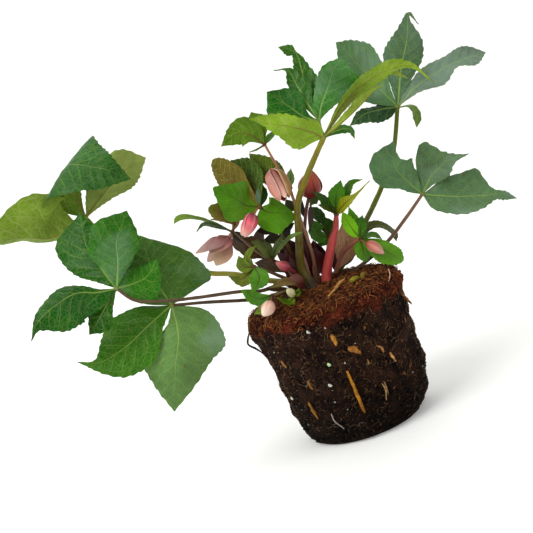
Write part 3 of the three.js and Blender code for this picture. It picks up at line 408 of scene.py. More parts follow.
def lobe(rib, face, left, right, *tint, **more):
    """One blade as a row for blade(): points along its midrib, the way its upper face looks, or
    several along the rib, its half widths left and right at even steps, and its colours above
    and below, or above and below at the foot and then at the tip. more can give fold and cup,
    degrees that each half is turned up and curls up; sweep, the share of its reach by which each
    margin is drawn to the tip; and start, blunt, late and rim, which blade() explains."""
    return dict(rib=rib, face=face, left=left, right=right, tint=tint, **more)


# Each leaf: the radius of its stalk from foot to joint, the stalk's two colours, the radius of
# the joint's knob, points along the stalk, which ends in the joint, and its leaflets. Four
# leaflets of leaf_d start on a fork of their own above the joint.
FORK = (36, -36, 220)
LEAVES = [
    dict(name="leaf_a", radius=(2.2, 1.6), bark=("#6f6a14", "#969024"), knob=1.872, stalk=[
        (-15, 11, 99), (-16, 14, 112), (-32, 22, 119), (-55, 30, 131), (-75, 36, 139), (-110, 42, 163),
        (-136, 42, 190), (-144, 40, 207),
    ], blades=[
        lobe([(-156, 36, 204), (-173, 31, 203), (-192, 25, 211), (-223, 18, 216)], (0.12, 0.97, 0.19),
             (4, 23, 33, 28), (8, 14, 19, 13), "#2c581f", "#64821d", fold=(0, 55), cup=(10, 10),
             sweep=(-0.4, 0)),
        lobe([(-145, 44, 229), (-142, 28, 248), (-120, 8, 240), (-100, 2, 225)], [(0.07, 1, 0.03),
             (-0.5, -0.12, 0.86), (0.21, -0.87, 0.44)], (3, 10, 31, 21, 11), (20, 31, 33, 23, 15),
             "#22551b", "#5a7d14", cup=(-10, -10)),
        lobe([(-129, 44, 217), (-107, 52, 229), (-88, 56, 233)], (0.3, 0.95, 0.07), (3, 7, 13, 11),
             (8, 15, 18, 14), "#386026", "#899c4a", cup=(15, 15)),
    ]),
    dict(name="leaf_b", radius=(1.5, 1), bark=("#3a2312", "#5e4a33"), knob=1.44, stalk=[
        (-15, -8, 99), (-17, -9, 108), (-23, -14, 119), (-40, -24, 122), (-54, -32, 128), (-81, -44, 136),
        (-103, -52, 143), (-121, -57, 151), (-130, -58, 163),
    ], blades=[
        lobe([(-136, -50, 179), (-141, -38, 196), (-139, -24, 216)], (0.01, -0.8, 0.6), (7, 15, 20, 22),
             (4, 10, 12, 11), "#0c4c02", "#718d2c", fold=(-5, 5), cup=(-25, -20)),
        lobe([(-124, -50, 178), (-120, -40, 192), (-108, -26, 207)], (0.25, -0.82, 0.52), (8, 17, 19, 18),
             (5, 11, 17, 13), "#246410", "#718d2c", fold=(5, 5), cup=(-25, -25)),
        lobe([(-119, -50, 161), (-109, -44, 162), (-99, -40, 170)], (0.2, -0.9, 0.39), (8, 12, 8),
             (12, 17, 9), "#23670c", "#718d2c", cup=(-20, -20)),
        lobe([(-142, -66, 166), (-155, -72, 171), (-171, -76, 168), (-185, -78, 161), (-192, -76, 152)],
             (0.08, -0.77, 0.63), (10, 18, 20, 17, 4), (3, 8, 11, 9, 2), "#094f04", "#718d2c",
             fold=(-10, 0), cup=(-30, -35)),
        lobe([(-140, -66, 155), (-147, -70, 149), (-156, -70, 142)], (-0.09, -0.87, 0.49), (4, 8, 9),
             (6, 11, 8), "#124b04", "#718d2c", cup=(-20, -20)),
    ]),
    dict(name="leaf_c", radius=(1.5, 1.1), bark=("#35200f", "#4a3a22"), knob=1.584, stalk=[
        (-19, -4, 99), (-23, -10, 112), (-42, -20, 116), (-56, -26, 121), (-79, -36, 130),
        (-101, -42, 137),
    ], blades=[
        lobe([(-105, -34, 153), (-106, -22, 171), (-107, -10, 186)], (0.31, -0.78, 0.55),
             (16, 24, 24, 18), (25, 37, 41, 38, 28), "#396323", "#778f46", fold=(0, -5), cup=(-15, -15),
             sweep=(0, -0.2)),
        lobe([(-119, -50, 131), (-139, -56, 123), (-158, -60, 120), (-172, -58, 125)],
             (-0.16, -0.81, 0.56), (9, 20, 18, 5), (18, 26, 19, 3), "#2f6410", "#778f46", fold=(-5, 0),
             cup=(-15, -15)),
        lobe([(-103, -54, 118), (-112, -60, 99), (-123, -60, 71)], (0.18, -0.92, 0.35),
             (21, 29, 33, 27, 17), (5, 15, 21, 22, 13), "#567b40", "#819555", fold=(-5, -5),
             cup=(-15, -15), sweep=(-0.3, 0)),
    ]),
    dict(name="leaf_d", radius=(4.2, 3.3, 2.4, 2.1, 1.8), bark=("#2e160a", "#7c7608"), knob=1.872, stalk=[
        (-3, -10, 99), (-5, -8, 112), (-8, -6, 124), (-2, -14, 149), (4, -22, 170), (15, -30, 186),
        (26, -36, 199), (35, -40, 209),
    ], fork=[(35, -40, 209), (35, -38, 215), FORK], blades=[
        lobe([(28, -42, 216), (16, -44, 224), (3, -46, 231), (-8, -48, 238)], (0.17, 0.93, 0.33),
             (8, 8, 8, 6), (12, 15, 9, 3), "#2a640e", "#779b19"),
        lobe([(27, -34, 227), (19, -30, 238), (10, -26, 250)], (-0.02, -0.75, 0.66), (4, 11, 15, 13),
             (3, 8, 14, 13), "#095704", "#7c981a", start=FORK, cup=(-20, -20)),
        lobe([(41, -32, 229), (50, -26, 239), (58, -20, 248), (67, -14, 255)], (0.08, -0.77, 0.63),
             (5, 8, 10, 9), (6, 12, 16, 17), "#1e6607", "#7c981a", start=FORK, cup=(-15, -10)),
        lobe([(33, -26, 235), (31, -18, 248), (29, -14, 259), (20, -12, 262)], (-0.15, -0.78, 0.61),
             (3, 6, 5, 1), (3, 9, 6, 1), "#1d5410", "#839c35", start=FORK),
        lobe([(37, -22, 236), (38, -12, 252), (39, -8, 266), (36, -6, 271), (29, -4, 276)],
             (-0.05, -0.8, 0.6), (3, 6, 5, 3, 5), (3, 9, 5, 1, 4), "#235713", "#839c35", start=FORK),
        lobe([(52, -38, 224), (70, -36, 233), (89, -38, 237), (107, -42, 234), (116, -46, 219)],
             (-0.08, 0.84, 0.54), (2, 6, 8, 3, 2), (2, 5, 6, 7, 1), "#2a640c", "#75941e"),
        lobe([(53, -37, 222), (68, -34, 230), (84, -33, 237), (94, -34, 235), (102, -37, 227)],
             (-0.08, 0.84, 0.54), (2, 4, 5, 3), (2, 4, 4, 2), "#2a640c", "#728825"),
        lobe([(52, -46, 216), (63, -48, 221), (73, -48, 226), (84, -46, 229)], (-0.1, 0.55, 0.83),
             (3, 7, 6, 4), (3, 5, 5, 3), "#316810", "#839c27", fold=(30, 30)),
        lobe([(48, -34, 210), (55, -28, 207), (56, -26, 200)], (0.5, -0.64, 0.58), (3, 4, 3), (3, 4, 3),
             "#1f5e06", "#7c981a"),
    ]),
    # leaf_e: its greyer green tints above are partly its own colour and partly painted sheen.
    dict(name="leaf_e", radius=(2.3, 2, 1.6), bark=("#535411", "#5b6a09"), knob=1.8, stalk=[
        (7, 16, 98), (8, 15, 104), (24, 18, 114), (50, 28, 136), (69, 34, 154), (87, 40, 176),
        (101, 45, 205),
    ], blades=[
        lobe([(93, 46, 221), (85, 46, 240), (79, 44, 254), (73, 42, 265)], (0.02, -0.65, 0.76),
             (12, 22, 23, 13), (8, 17, 20, 13), "#557d50", "#7d9155"),
        lobe([(113, 50, 230), (124, 50, 249), (131, 48, 266), (135, 44, 257)], (0.01, -0.89, 0.46),
             (8, 15, 12, 4, 1), (8, 14, 12, 2, 1), "#436144", "#7d9155"),
        lobe([(120, 42, 215), (143, 40, 221), (161, 40, 222), (175, 42, 221)], (0.34, -0.6, 0.73),
             (7, 11, 11, 13), (5, 14, 6, 10), "#607566", "#7d9155"),
        lobe([(87, 40, 208), (75, 36, 209), (62, 34, 205)], (0.11, -0.69, 0.71), (11, 12, 8), (5, 5, 5),
             "#1f4328", "#6a862c"),
        lobe([(109, 38, 203), (111, 36, 195), (108, 34, 187)], (0.61, -0.51, 0.61), (3, 5, 4), (3, 5, 4),
             "#56722a", "#7d913a"),
    ]),
    # leaf_f: likewise greyer green above, partly its own colour and partly painted sheen.
    dict(name="leaf_f", radius=(1.7, 1.2), bark=("#2a1b13", "#785740"), knob=1.512, stalk=[
        (10, 2, 98), (12, 4, 105), (30, 6, 108), (57, 10, 118), (75, 12, 129), (93, 12, 142),
    ], blades=[
        lobe([(86, 10, 154), (80, 8, 169), (85, 6, 186)], (0.04, -0.83, 0.55), (5, 9, 18, 15),
             (7, 12, 14, 4), "#52774f", "#778b44"),
        lobe([(104, 14, 152), (118, 14, 158), (134, 12, 158)], (0.14, -0.84, 0.52), (12, 22, 9, 3),
             (4, 9, 9, 3), "#51704a", "#778b44", sweep=(0.5, 0)),
        lobe([(107, 6, 136), (130, 2, 128), (144, 0, 125), (154, -2, 118)], (0.17, -0.78, 0.6),
             (13, 19, 24, 5, 3), (12, 15, 12, 5, 5), "#50704c", "#75823d"),
    ]),
]
# How a leaflet is made, in millimetres: the step between rings, the points across each half, its
# thickness, a tooth's length and depth, how far apart the side veins are and how far they run to
# the tip for each millimetre out, and the height of the quilting and of the margin's waves.
LEAF = dict(step=1.0, across=14, thickness=0.45, tooth=4.6, bite=1.0, vein_spacing=8.5, lean=0.75,
            quilt=0.75, flutter=0.9)


def along_rib(rib, face, u):
    """Points of the midrib's curve, and at each its unit direction, the direction across the
    blade (direction x face) and the one out of its upper face (across x direction)."""
    ahead = unit(spline(rib, np.minimum(u + 1e-3, 1)) - spline(rib, np.maximum(u - 1e-3, 0)))
    look = spline(face, u) if np.ndim(face) > 1 else np.asarray(face, float)
    across = unit(np.cross(ahead, look))
    return spline(rib, u), ahead, across, np.cross(across, ahead)


def length_of(points):
    """The length of a polyline up to each of its points."""
    return np.concatenate([[0], np.cumsum(np.linalg.norm(np.diff(points, axis=0), axis=1))])


def steps_along(path, step, least):
    """Even steps from 0 to 1 along a curve, each about step millimetres, and the length."""
    length = length_of(spline(path, np.linspace(0, 1, 60)))[-1]
    return np.linspace(0, 1, max(least, round(length / step)) + 1), length


def eased(count):
    """This many shares from 0 to 1, closer together towards both ends: (1 - cos(pi x)) / 2."""
    return 0.5 * (1 - np.cos(np.pi * np.linspace(0, 1, count)))


def saw(x):
    """A saw-tooth wave from 0 to 1: it climbs for three quarters of each tooth, then drops."""
    f = x - np.floor(x)
    return np.where(f < 0.75, f / 0.75, (1 - f) / 0.25)


def there_and_back(upper, lower):
    """Values across the upper side of a blade and back across its lower side."""
    return np.concatenate([upper, lower[:, ::-1]], axis=1)


# What all blades and stalks share, in millimetres.
FULL_TEETH = 5       # half width from which the teeth are full
TEETH_GROW = 9       # length over which they grow in from the foot
FULL_QUILT = 3.5     # distance from the midrib at which the quilting is full
WAVE = 23            # length of the margin's waves
FULL_WAVE = 9        # half width from which they are full
LUMP_SIZE = 17       # size of the blade's unevenness
LUMP = 0.35          # and its height
GROOVE = 0.3         # depth of the midrib's groove at the foot
GROOVE_WIDTH = 0.8
RIDGE = 0.75         # height of the midrib's ridge at the foot
RIDGE_WIDTH = 0.9
STALK_SIDES = 14     # points round a stalk or a knob


def blade(row, start, make, seed):
    """A leaflet or bract as one ring of points for each step u along its midrib: v from -1 to 1
    over its upper face and back under it. A point lies v times the half width from the midrib,
    turned up by the fold and half the cup, raised between the side veins and waved along the
    margin, half the thickness off that surface on either side. The half width runs evenly
    through the given ones to nothing; a blunt blade keeps that share of the last one, rounded
    off by an arc of a circle. The midrib is sunk above and stands out below. The tint goes from
    foot to tip by u, or by a higher power of it, late, and a rim colour comes in by the ninth
    power of v. Returns the rings and their marks: tint, lamina (millimetres along, millimetres
    across, upper or under side) and place (u, v, number of side veins passed)."""
    rib = ([start] if start else []) + row["rib"]
    u, length = steps_along(rib, make["step"], 12)
    half = eased(make["across"] + 1)
    v = np.concatenate([-half[:0:-1], half])[None, :]
    right = (v > 0).astype(int)
    side = np.sign(v)
    size = np.abs(v)
    margin = size**8
    blunt = row.get("blunt", 0)
    sides = [spline([(w, 0, 0) for w in (0, *row[name], blunt * row[name][-1])], u)[:, 0]
             for name in ("left", "right")]
    width = np.where(right == 1, sides[1][:, None], sides[0][:, None])
    fold, cup, sweep = (np.array(row.get(key, (0, 0)), float)[right]
                        for key in ("fold", "cup", "sweep"))
    middle, ahead, across, up = (a[:, None] for a in along_rib(rib, row["face"], u))
    at = (u * length)[:, None]
    rng = np.random.default_rng(seed)
    tooth = saw(at / make["tooth"] + rng.uniform()) - 0.6
    bare = np.clip(at / TEETH_GROW - 0.4, 0, 1)
    notch = make["bite"] * tooth * np.clip(width / FULL_TEETH, 0, 1) * bare
    if blunt:
        width = width * np.sqrt(1 - (1 - np.clip((length - at) / width.max(), 0, 1)) ** 2)
    width = np.maximum(width + notch * margin, np.maximum(0.8 * (1 - u), 0.3)[:, None])
    reach = size * width
    turn = np.radians(fold) + np.radians(cup) * size / 2
    vein = (at - make["lean"] * reach * (1 + 0.3 * size)) / make["vein_spacing"]
    rise = np.abs(np.sin(np.pi * vein)) ** 0.8 - 0.6
    body = np.clip(reach / FULL_QUILT, 0, 1) * (1 - size**6)
    wave = make["flutter"] * size**2 * np.sin(2 * np.pi * (at / WAVE + rng.uniform() + 0.17 * right))
    wave = wave * np.clip(width / FULL_WAVE, 0, 1) * np.sin(np.pi * u)[:, None]
    lift = make["quilt"] * rise * body + wave
    normal = up * np.cos(turn)[..., None] - across * (side * np.sin(turn))[..., None]
    mid = (middle + ahead * (reach * size * sweep + 0.5 * notch * margin)[..., None]
           + across * (side * reach * np.cos(turn))[..., None]
           + up * (reach * np.sin(turn))[..., None])
    mid = mid + normal * (lift + LUMP * lumps(mid, LUMP_SIZE, seed))[..., None]
    out = unit(np.cross(np.gradient(mid, axis=1), np.gradient(mid, axis=0)))
    thick = make["thickness"] / 2
    groove = GROOVE * (1 - u)[:, None] * np.exp(-(reach / GROOVE_WIDTH) ** 2)
    ridge = RIDGE * (1 - 0.8 * u)[:, None] * np.exp(-(reach / RIDGE_WIDTH) ** 2)
    rings = there_and_back(mid + out * (thick - groove)[..., None],
                           mid - out * (thick + ridge)[..., None])
    # Two colours stand for foot and tip alike.
    first_up, first_low, last_up, last_low = (row["tint"] * 2)[:4]
    share = u[:, None] ** row.get("late", 1) + 0 * reach
    tint = there_and_back(blended(first_up, last_up, share), blended(first_low, last_low, share))
    if "rim" in row:
        edge = there_and_back(size, size)[..., None]
        tint = tint + (linear(row["rim"]) - tint) * 0.8 * edge**9
    run = grid(at, side * reach, 1.0)
    spot = grid(u[:, None], size, vein)
    return rings, dict(tint=tint, lamina=there_and_back(run, run * (1, 1, -1)),
                       place=there_and_back(spot, spot))


def stalk(path, radius, colours, seed, step=1.6, swell=0.0):
    """A stalk as rings square to the spline through path: the radius runs evenly through the
    given ones, with three faint ridges that wind round it by a cosine of three times the angle,
    lumps of a few per cent, and a swelling that dies away from the foot. The tint runs unevenly
    from the first colour to the last; lamina holds millimetres along and round."""
    u = steps_along(path, step, 6)[0]
    line = spline(path, u)
    at = length_of(line)[:, None]
    ahead = unit(np.gradient(line, axis=0))
    plane = np.cross(ahead[0], ahead[-1])
    if np.linalg.norm(plane) < 0.05:
        plane = np.cross(ahead[0], (0.3, 0.9, 0.1))
    first = unit(plane - (ahead @ plane)[:, None] * ahead)
    second = np.cross(ahead, first)
    turn = turns(STALK_SIDES)
    girth = np.interp(u, np.linspace(0, 1, len(radius)), radius)[:, None]
    girth = girth * (1 + swell * np.exp(-at / 9) + 0.05 * np.cos(3 * turn + at / 30))
    ring = circled(first[:, None], second[:, None], turn)
    rings = line[:, None] + ring * girth[..., None]
    rings = rings + ring * (0.06 * girth * lumps(rings, 9, seed))[..., None]
    share = np.clip(u[:, None] + 0.12 * lumps(rings, 12, seed + 1), 0, 1)
    return rings, dict(tint=blended(*colours, share), lamina=grid(at, turn * girth, 1.0),
                       place=grid(u[:, None] + 0 * turn, 0.0, 0.0))


def knob(centre, radius, colour, seed):
    """The joint where leaflets meet: a lumpy ball as rings round an upright axis, the radius of
    each the sine of its angle from the foot."""
    angle = np.linspace(0.15, np.pi - 0.15, 9)[:, None]
    turn = turns(STALK_SIDES)
    ball = grid(np.sin(angle) * np.cos(turn), np.sin(angle) * np.sin(turn), -np.cos(angle))
    size = radius * (1 + 0.15 * lumps(ball * 4, 5, seed))
    ball = np.asarray(centre, float) + ball * size[..., None]
    return ball, dict(tint=np.broadcast_to(linear(colour), ball.shape), lamina=0 * ball,
                      place=0 * ball)


def marks_of(tree):
    """Outputs for the object's own coordinates, in metres, and for the marks tint and lamina."""
    return (add(tree, "TexCoord")["Object"],
            add(tree, "Attribute", attribute_name="tint")["Color"],
            add(tree, "Attribute", attribute_name="lamina")["Vector"])


def lamina_material(name, roughness, net, net_strength, side_strength, ribs, spots, painted_sheen_share):
    """A blade's material: its tint, mottled, with a midrib in ribs' colours above and below,
    paler side veins, nets of small veins net and two and a half times net millimetres wide
    between them, a bump that sinks them all above and raises them below, painted sheen: pale
    grey-green patches on the upper side that stand in for broad glints of light, most of all on
    paler blades, and a few brown spots. It is dull below and has this roughness above.
    net_strength, side_strength, painted_sheen_share and spots are the most that shows of the
    colour of small veins, side veins, painted sheen and spots, 0 to 1."""
    material, tree, shader = surface(name, Specular_IOR_Level=0.11)
    place, tint, lamina = marks_of(tree)
    run = add(tree, "SeparateXYZ", [lamina])
    spot = add(tree, "SeparateXYZ", [add(tree, "Attribute", attribute_name="place")["Vector"]])
    upper = add(tree, "MapRange", [run["Z"], -0.2, 0.2])[0]
    clear = add(tree, "MapRange", [upper, 0.0, 1.0, 1.8, 1.0])[0]

    # Side veins, thinner towards the margin.
    drift = add(tree, "TexNoise", dict(Vector=place, Scale=METRE / 13.3, Detail=2))["Fac"]
    count = add(tree, "Math", [drift, 0.9, spot["Z"]], operation="MULTIPLY_ADD")[0]
    fold = add(tree, "Math", [count, 0.5], operation="PINGPONG")[0]
    line = add(tree, "MapRange", [fold, 0.01, 0.075, side_strength, 0.0],
               interpolation_type="SMOOTHSTEP")[0]
    thin = add(tree, "MapRange", [spot["Y"], 0.55, 1.0, 1.0, 0.0])[0]
    line = add(tree, "Math", [line, thin], operation="MULTIPLY")[0]
    line = add(tree, "Math", [line, clear], operation="MULTIPLY")[0]

    # The two nets of small veins: the borders of cells, the wider ones swayed.
    wander = add(tree, "TexNoise", dict(Vector=place, Scale=METRE / 6.25, Detail=2))["Color"]
    sway = add(tree, "VectorMath", {0: wander, "Scale": 2.5}, operation="SCALE")[0]
    swayed = add(tree, "VectorMath", [lamina, sway], operation="ADD")[0]
    small, wide = (add(tree, "TexVoronoi", dict(Vector=vector, Scale=scale),
                       feature="DISTANCE_TO_EDGE")["Distance"]
                   for vector, scale in ((lamina, 1 / net), (swayed, 0.4 / net)))
    small = add(tree, "MapRange", [small, 0.015, 0.13, net_strength, 0.0])[0]
    wide = add(tree, "MapRange", [wide, 0.01, 0.06, 1.4 * net_strength, 0.0])[0]
    mesh = add(tree, "Math", [small, wide], operation="MAXIMUM")[0]
    mesh = add(tree, "Math", [mesh, clear], operation="MULTIPLY")[0]

    # The midrib, which thins out towards the tip.
    middle = add(tree, "Math", [run["Y"]], operation="ABSOLUTE")[0]
    taper = add(tree, "Math", [spot["X"], 0.75, middle], operation="MULTIPLY_ADD")[0]
    rib = add(tree, "MapRange", [taper, 0.35, 0.95, 0.75, 0.0], interpolation_type="SMOOTHSTEP")[0]

    # The colour of the veins over the tint, and the mottling.
    pale = add(tree, "Mix", dict(Factor=upper, A=rgba("#a9b06a"), B=rgba("#93ad50")), **BLEND)["Result"]
    pale = add(tree, "Mix", dict(Factor=0.55, A=tint, B=pale), **BLEND)["Result"]
    ridge = add(tree, "Mix", dict(Factor=upper, A=rgba(ribs[1]), B=rgba(ribs[0])), **BLEND)["Result"]
    colour = tint
    for share, over in ((mesh, pale), (line, pale), (rib, ridge)):
        colour = add(tree, "Mix", dict(Factor=share, A=colour, B=over), **BLEND)["Result"]
    mottle = add(tree, "TexNoise", dict(Vector=place, Scale=METRE / 23.8, Detail=5))["Fac"]
    mottle = add(tree, "MapRange", [mottle, 0.33, 0.67, 0.72, 1.16])[0]
    colour = add(tree, "Mix", dict(Factor=1.0, A=colour, B=mottle), **TIMES)["Result"]

    # Painted sheen: pale grey-green patches that stand in for glints, least where the tint's green is
    # dark; and the brown spots.
    patch = add(tree, "TexNoise", dict(Vector=place, Scale=METRE / 41.7, Detail=4))["Fac"]
    painted_sheen = add(tree, "MapRange", [patch, 0.52, 0.68, 0.0, painted_sheen_share])[0]
    painted_sheen = add(tree, "Math", [painted_sheen, upper], operation="MULTIPLY")[0]
    green = add(tree, "SeparateColor", [tint])["Green"]
    green = add(tree, "MapRange", [green, 0.09, 0.16, 0.08, 1.0])[0]
    painted_sheen = add(tree, "Math", [painted_sheen, green], operation="MULTIPLY")[0]
    brown = add(tree, "TexNoise", dict(Vector=place, Scale=METRE / 4.76, Detail=1))["Fac"]
    brown = add(tree, "MapRange", [brown, 0.755, 0.79, 0.0, spots])[0]
    for share, over in ((painted_sheen, rgba("#86a088")), (brown, rgba("#5f4420"))):
        colour = add(tree, "Mix", dict(Factor=share, A=colour, B=over), **BLEND)["Result"]

    # Roughness, a little more along the small veins, and the relief of all the veins.
    rough = add(tree, "MapRange", [upper, 0.0, 1.0, 0.62, roughness])[0]
    rough = add(tree, "Math", [mesh, 0.25, rough], operation="MULTIPLY_ADD")[0]
    deep = add(tree, "Math", [line, mesh], operation="ADD")[0]
    deep = add(tree, "Math", [deep, rib], operation="ADD")[0]
    side = add(tree, "Math", [run["Z"], -1.0], operation="MULTIPLY")[0]
    deep = add(tree, "Math", [deep, side], operation="MULTIPLY")[0]
    grain = add(tree, "TexNoise", dict(Vector=place, Scale=METRE / 1.11, Detail=3))["Fac"]
    deep = add(tree, "Math", [grain, 0.45, deep], operation="MULTIPLY_ADD")[0]
    bump = add(tree, "Bump", dict(Height=deep, Strength=0.55, Distance=0.0004))["Normal"]
    feed(shader, {"Base Color": colour, "Roughness": rough, "Normal": bump})
    return material


# Leaf cuticle: a waxy skin over dark green flesh, satin above with broad pale glints, partly from
# its gloss and partly painted sheen, duller below. The real net of veins is under a millimetre
# wide and is drawn 2.6 mm wide to show.
cuticle = lamina_material("waxy leaf blade", roughness=0.3, net=2.6, net_strength=0.21,
                          side_strength=0.36, ribs=("#84a046", "#7e6a34"), spots=0.5, painted_sheen_share=0.42)

# Leaf stalk: smooth fleshy green, satin, with streaks 14 mm long and 0.7 mm wide and flecks of
# 1.6 mm in purple-brown.
flesh, tree, shader = surface("fleshy leaf stalk", Specular_IOR_Level=0.28, Roughness=0.38)
place, tint, run = marks_of(tree)
drawn = add(tree, "Mapping", dict(Vector=run, Scale=(1 / 14.3, 1 / 0.714, 1.0)))["Vector"]
streak = add(tree, "TexNoise", dict(Vector=drawn, Scale=1.0, Detail=3))["Fac"]
shade = add(tree, "MapRange", [streak, 0.35, 0.65, 0.72, 1.22])[0]
colour = add(tree, "Mix", dict(Factor=1.0, A=tint, B=shade), **TIMES)["Result"]
fleck = add(tree, "TexNoise", dict(Vector=place, Scale=METRE / 1.61, Detail=2))["Fac"]
fleck = add(tree, "MapRange", [fleck, 0.6, 0.7, 0.0, 0.5])[0]
colour = add(tree, "Mix", dict(Factor=fleck, A=colour, B=rgba("#4a2418")), **BLEND)["Result"]
bump = add(tree, "Bump", dict(Height=streak, Strength=0.4, Distance=0.0004))["Normal"]
feed(shader, {"Base Color": colour, "Normal": bump})

seed = 100
for leaf in LEAVES:
    name, bark = leaf["name"], leaf["bark"]
    joint = leaf["stalk"][-1]
    parts = [knob(joint, leaf["knob"], bark[1], seed)]
    if "fork" in leaf:
        parts.append(stalk(leaf["fork"], (1.5, 1.1), (bark[1],) * 2, seed))
    for row in leaf["blades"]:
        seed += 1
        parts.append(blade(row, row.get("start", joint), LEAF, seed))
    piece(name + "_leaflets", parts, cuticle, "leaf", name + "_blades")
    parts = [stalk(leaf["stalk"], leaf["radius"], bark, seed, swell=0.5)]
    piece(name + "_petiole", parts, flesh, "leaf_stalk", name + "_stalk")


# ---------------------------------------------------------------------------------------------
# Flowering stems
# Ten round stems from the crown, purple-red at the foot and greener above, some wrapped at the
# foot in a papery sheath. Each grows from the crown among the leaf stalks and carries bracts.
# ---------------------------------------------------------------------------------------------

# Each stem: its radius and its two colours from foot to tip, points along it, a side branch, and
# its sheaths.
STEMS = [
    dict(name="stem_1", radius=(1.3, 0.9), bark=("#8a5a3c", "#a06e50"), path=[
        (1, 3, 99), (1, 4, 113), (3, -2, 134), (3, -6, 154), (3, -8, 171), (3, -10, 185), (0, -10, 199),
        (-3, -8, 216),
    ], branch=[(0, -10, 199), (-2, -14, 198), (-5, -16, 198)], branch_radius=0.8, sheaths=[
        lobe([(2, 5, 113), (4, 4, 123), (6, 2, 134)], (0.1, -0.9, 0.43), (2, 3, 3), (4, 6, 5), "#3f0d12",
             "#320a0e"),
    ]),
    dict(name="stem_2", radius=(1.5, 1.2), bark=("#572428", "#6c3a30"), path=[
        (-4, 9, 99), (-4, 8, 113), (0, 6, 137), (8, 4, 158), (14, 2, 169),
    ], sheaths=[
        lobe([(-3, 7, 114), (-4, 3, 128), (-6, 0, 141)], (-0.12, -0.91, 0.41), (5, 6, 5), (3, 3, 4),
             "#3f0d12", "#320a0e"),
    ]),
    dict(name="stem_3", radius=(1.5, 1.1), bark=("#5c2a24", "#6c5428"), path=[
        (-7, 15, 99), (-8, 14, 112), (-10, 8, 131), (-14, -4, 154), (-21, -20, 177),
    ], sheaths=[
        lobe([(-8, 14, 113), (-9, 9, 126), (-11, 6, 138), (-12, 4, 148)], (-0.12, -0.91, 0.41), (5, 9, 7),
             (4, 7, 6), "#2c0509", "#240407", "#3a1a14", "#2c120e"),
    ]),
    dict(name="stem_4", radius=(1.5, 1), bark=("#5c2a24", "#70583c"), path=[
        (-7, 4, 99), (-7, 4, 112), (-19, -2, 128), (-33, -8, 146), (-45, -14, 167),
    ], sheaths=[
        lobe([(-9, 4, 115), (-15, 3, 129), (-21, 2, 141)], (-0.08, -0.87, 0.49), (3, 4, 3), (3, 4, 3),
             "#4c1216", "#3c0e12"),
    ]),
    dict(name="stem_5", radius=(1.4, 1), bark=("#5a2a24", "#5c5030"), path=[
        (-10, -5, 99), (-11, -6, 113), (-23, -12, 124), (-31, -16, 132), (-39, -20, 139),
    ]),
    dict(name="stem_6", radius=(1.3, 1), bark=("#6c4a30", "#8a7a48"), path=[
        (-9, -12, 99), (-13, -12, 112), (-21, -18, 115), (-28, -24, 116), (-34, -28, 117),
    ], branch=[(-20, -18, 114), (-19, -20, 112), (-20, -23, 110)], branch_radius=0.9, sheaths=[
        lobe([(-13, -12, 111), (-19, -20, 121), (-34, -28, 123)], (0.27, -0.48, 0.84), (5, 6, 4),
             (4, 4, 3), "#5e2c20", "#5e2c20", "#7c7038", "#7c7038"),
        lobe([(-11, -13, 111), (-15, -17, 118), (-22, -20, 121)], (-0.1, -0.85, 0.5), (4, 6, 4),
             (4, 6, 4), "#4e1a14", "#40140f", "#7a4a38", "#6a3c2c"),
    ]),
    dict(name="stem_7", radius=(3.9, 3, 1.6), bark=("#b03b39", "#9f3935"), path=[
        (5, -6, 99), (7, -4, 112), (18, -6, 133), (24, -6, 142), (28, -6, 152),
    ]),
    dict(name="stem_8", radius=(1.4, 1.1), bark=("#8a4a40", "#a05c50"), path=[
        (13, 11, 99), (15, 9, 110), (22, 8, 120), (31, 4, 126), (39, 0, 129),
    ], sheaths=[
        lobe([(18, 9, 112), (27, 11, 124), (31, 12, 142)], (0.3, -0.88, 0.36), (5, 8, 6), (5, 10, 8),
             "#96603e", "#7c4630", "#bd9472", "#97705a"),
    ]),
    dict(name="stem_9", radius=(1.2, 1), bark=("#6a4a2c", "#7a7034"), path=[
        (4, 8, 99), (6, 12, 111), (13, 14, 124), (19, 14, 135),
    ], sheaths=[
        lobe([(5, 13, 112), (6, 12, 126), (7, 10, 138)], (-0.12, -0.91, 0.41), (4, 7, 5), (4, 7, 5),
             "#350b10", "#2c080c"),
    ]),
    dict(name="stem_10", radius=(1.1, 0.9), bark=("#6c2428", "#8a3238"), path=[
        (-12, 0, 99), (-12, -4, 115), (-13, -9, 123), (-16, -14, 128),
    ], sheaths=[
        lobe([(-11, -3, 114), (-16, -4, 124), (-24, -8, 137)], (0.18, -0.76, 0.62), (4, 4, 3), (3, 3, 3),
             "#5c1a1c", "#4c1416"),
    ]),
]
SHEATH = dict(step=0.9, across=8, thickness=0.5, tooth=40, bite=0.0, vein_spacing=30, lean=0.3,
              quilt=0.0, flutter=0.5)
for stem in STEMS:
    seed += 1
    bark = stem["bark"]
    parts = [stalk(stem["path"], stem["radius"], bark, seed, swell=0.4)]
    if "branch" in stem:
        radius = (stem["branch_radius"],) * 2
        parts.append(stalk(stem["branch"], radius, (bark[1],) * 2, seed, step=0.8))
    for row in stem.get("sheaths", []):
        parts.append(blade(row, None, SHEATH, seed))
    piece(stem["name"] + "_green", parts, flesh, "stem", stem["name"])
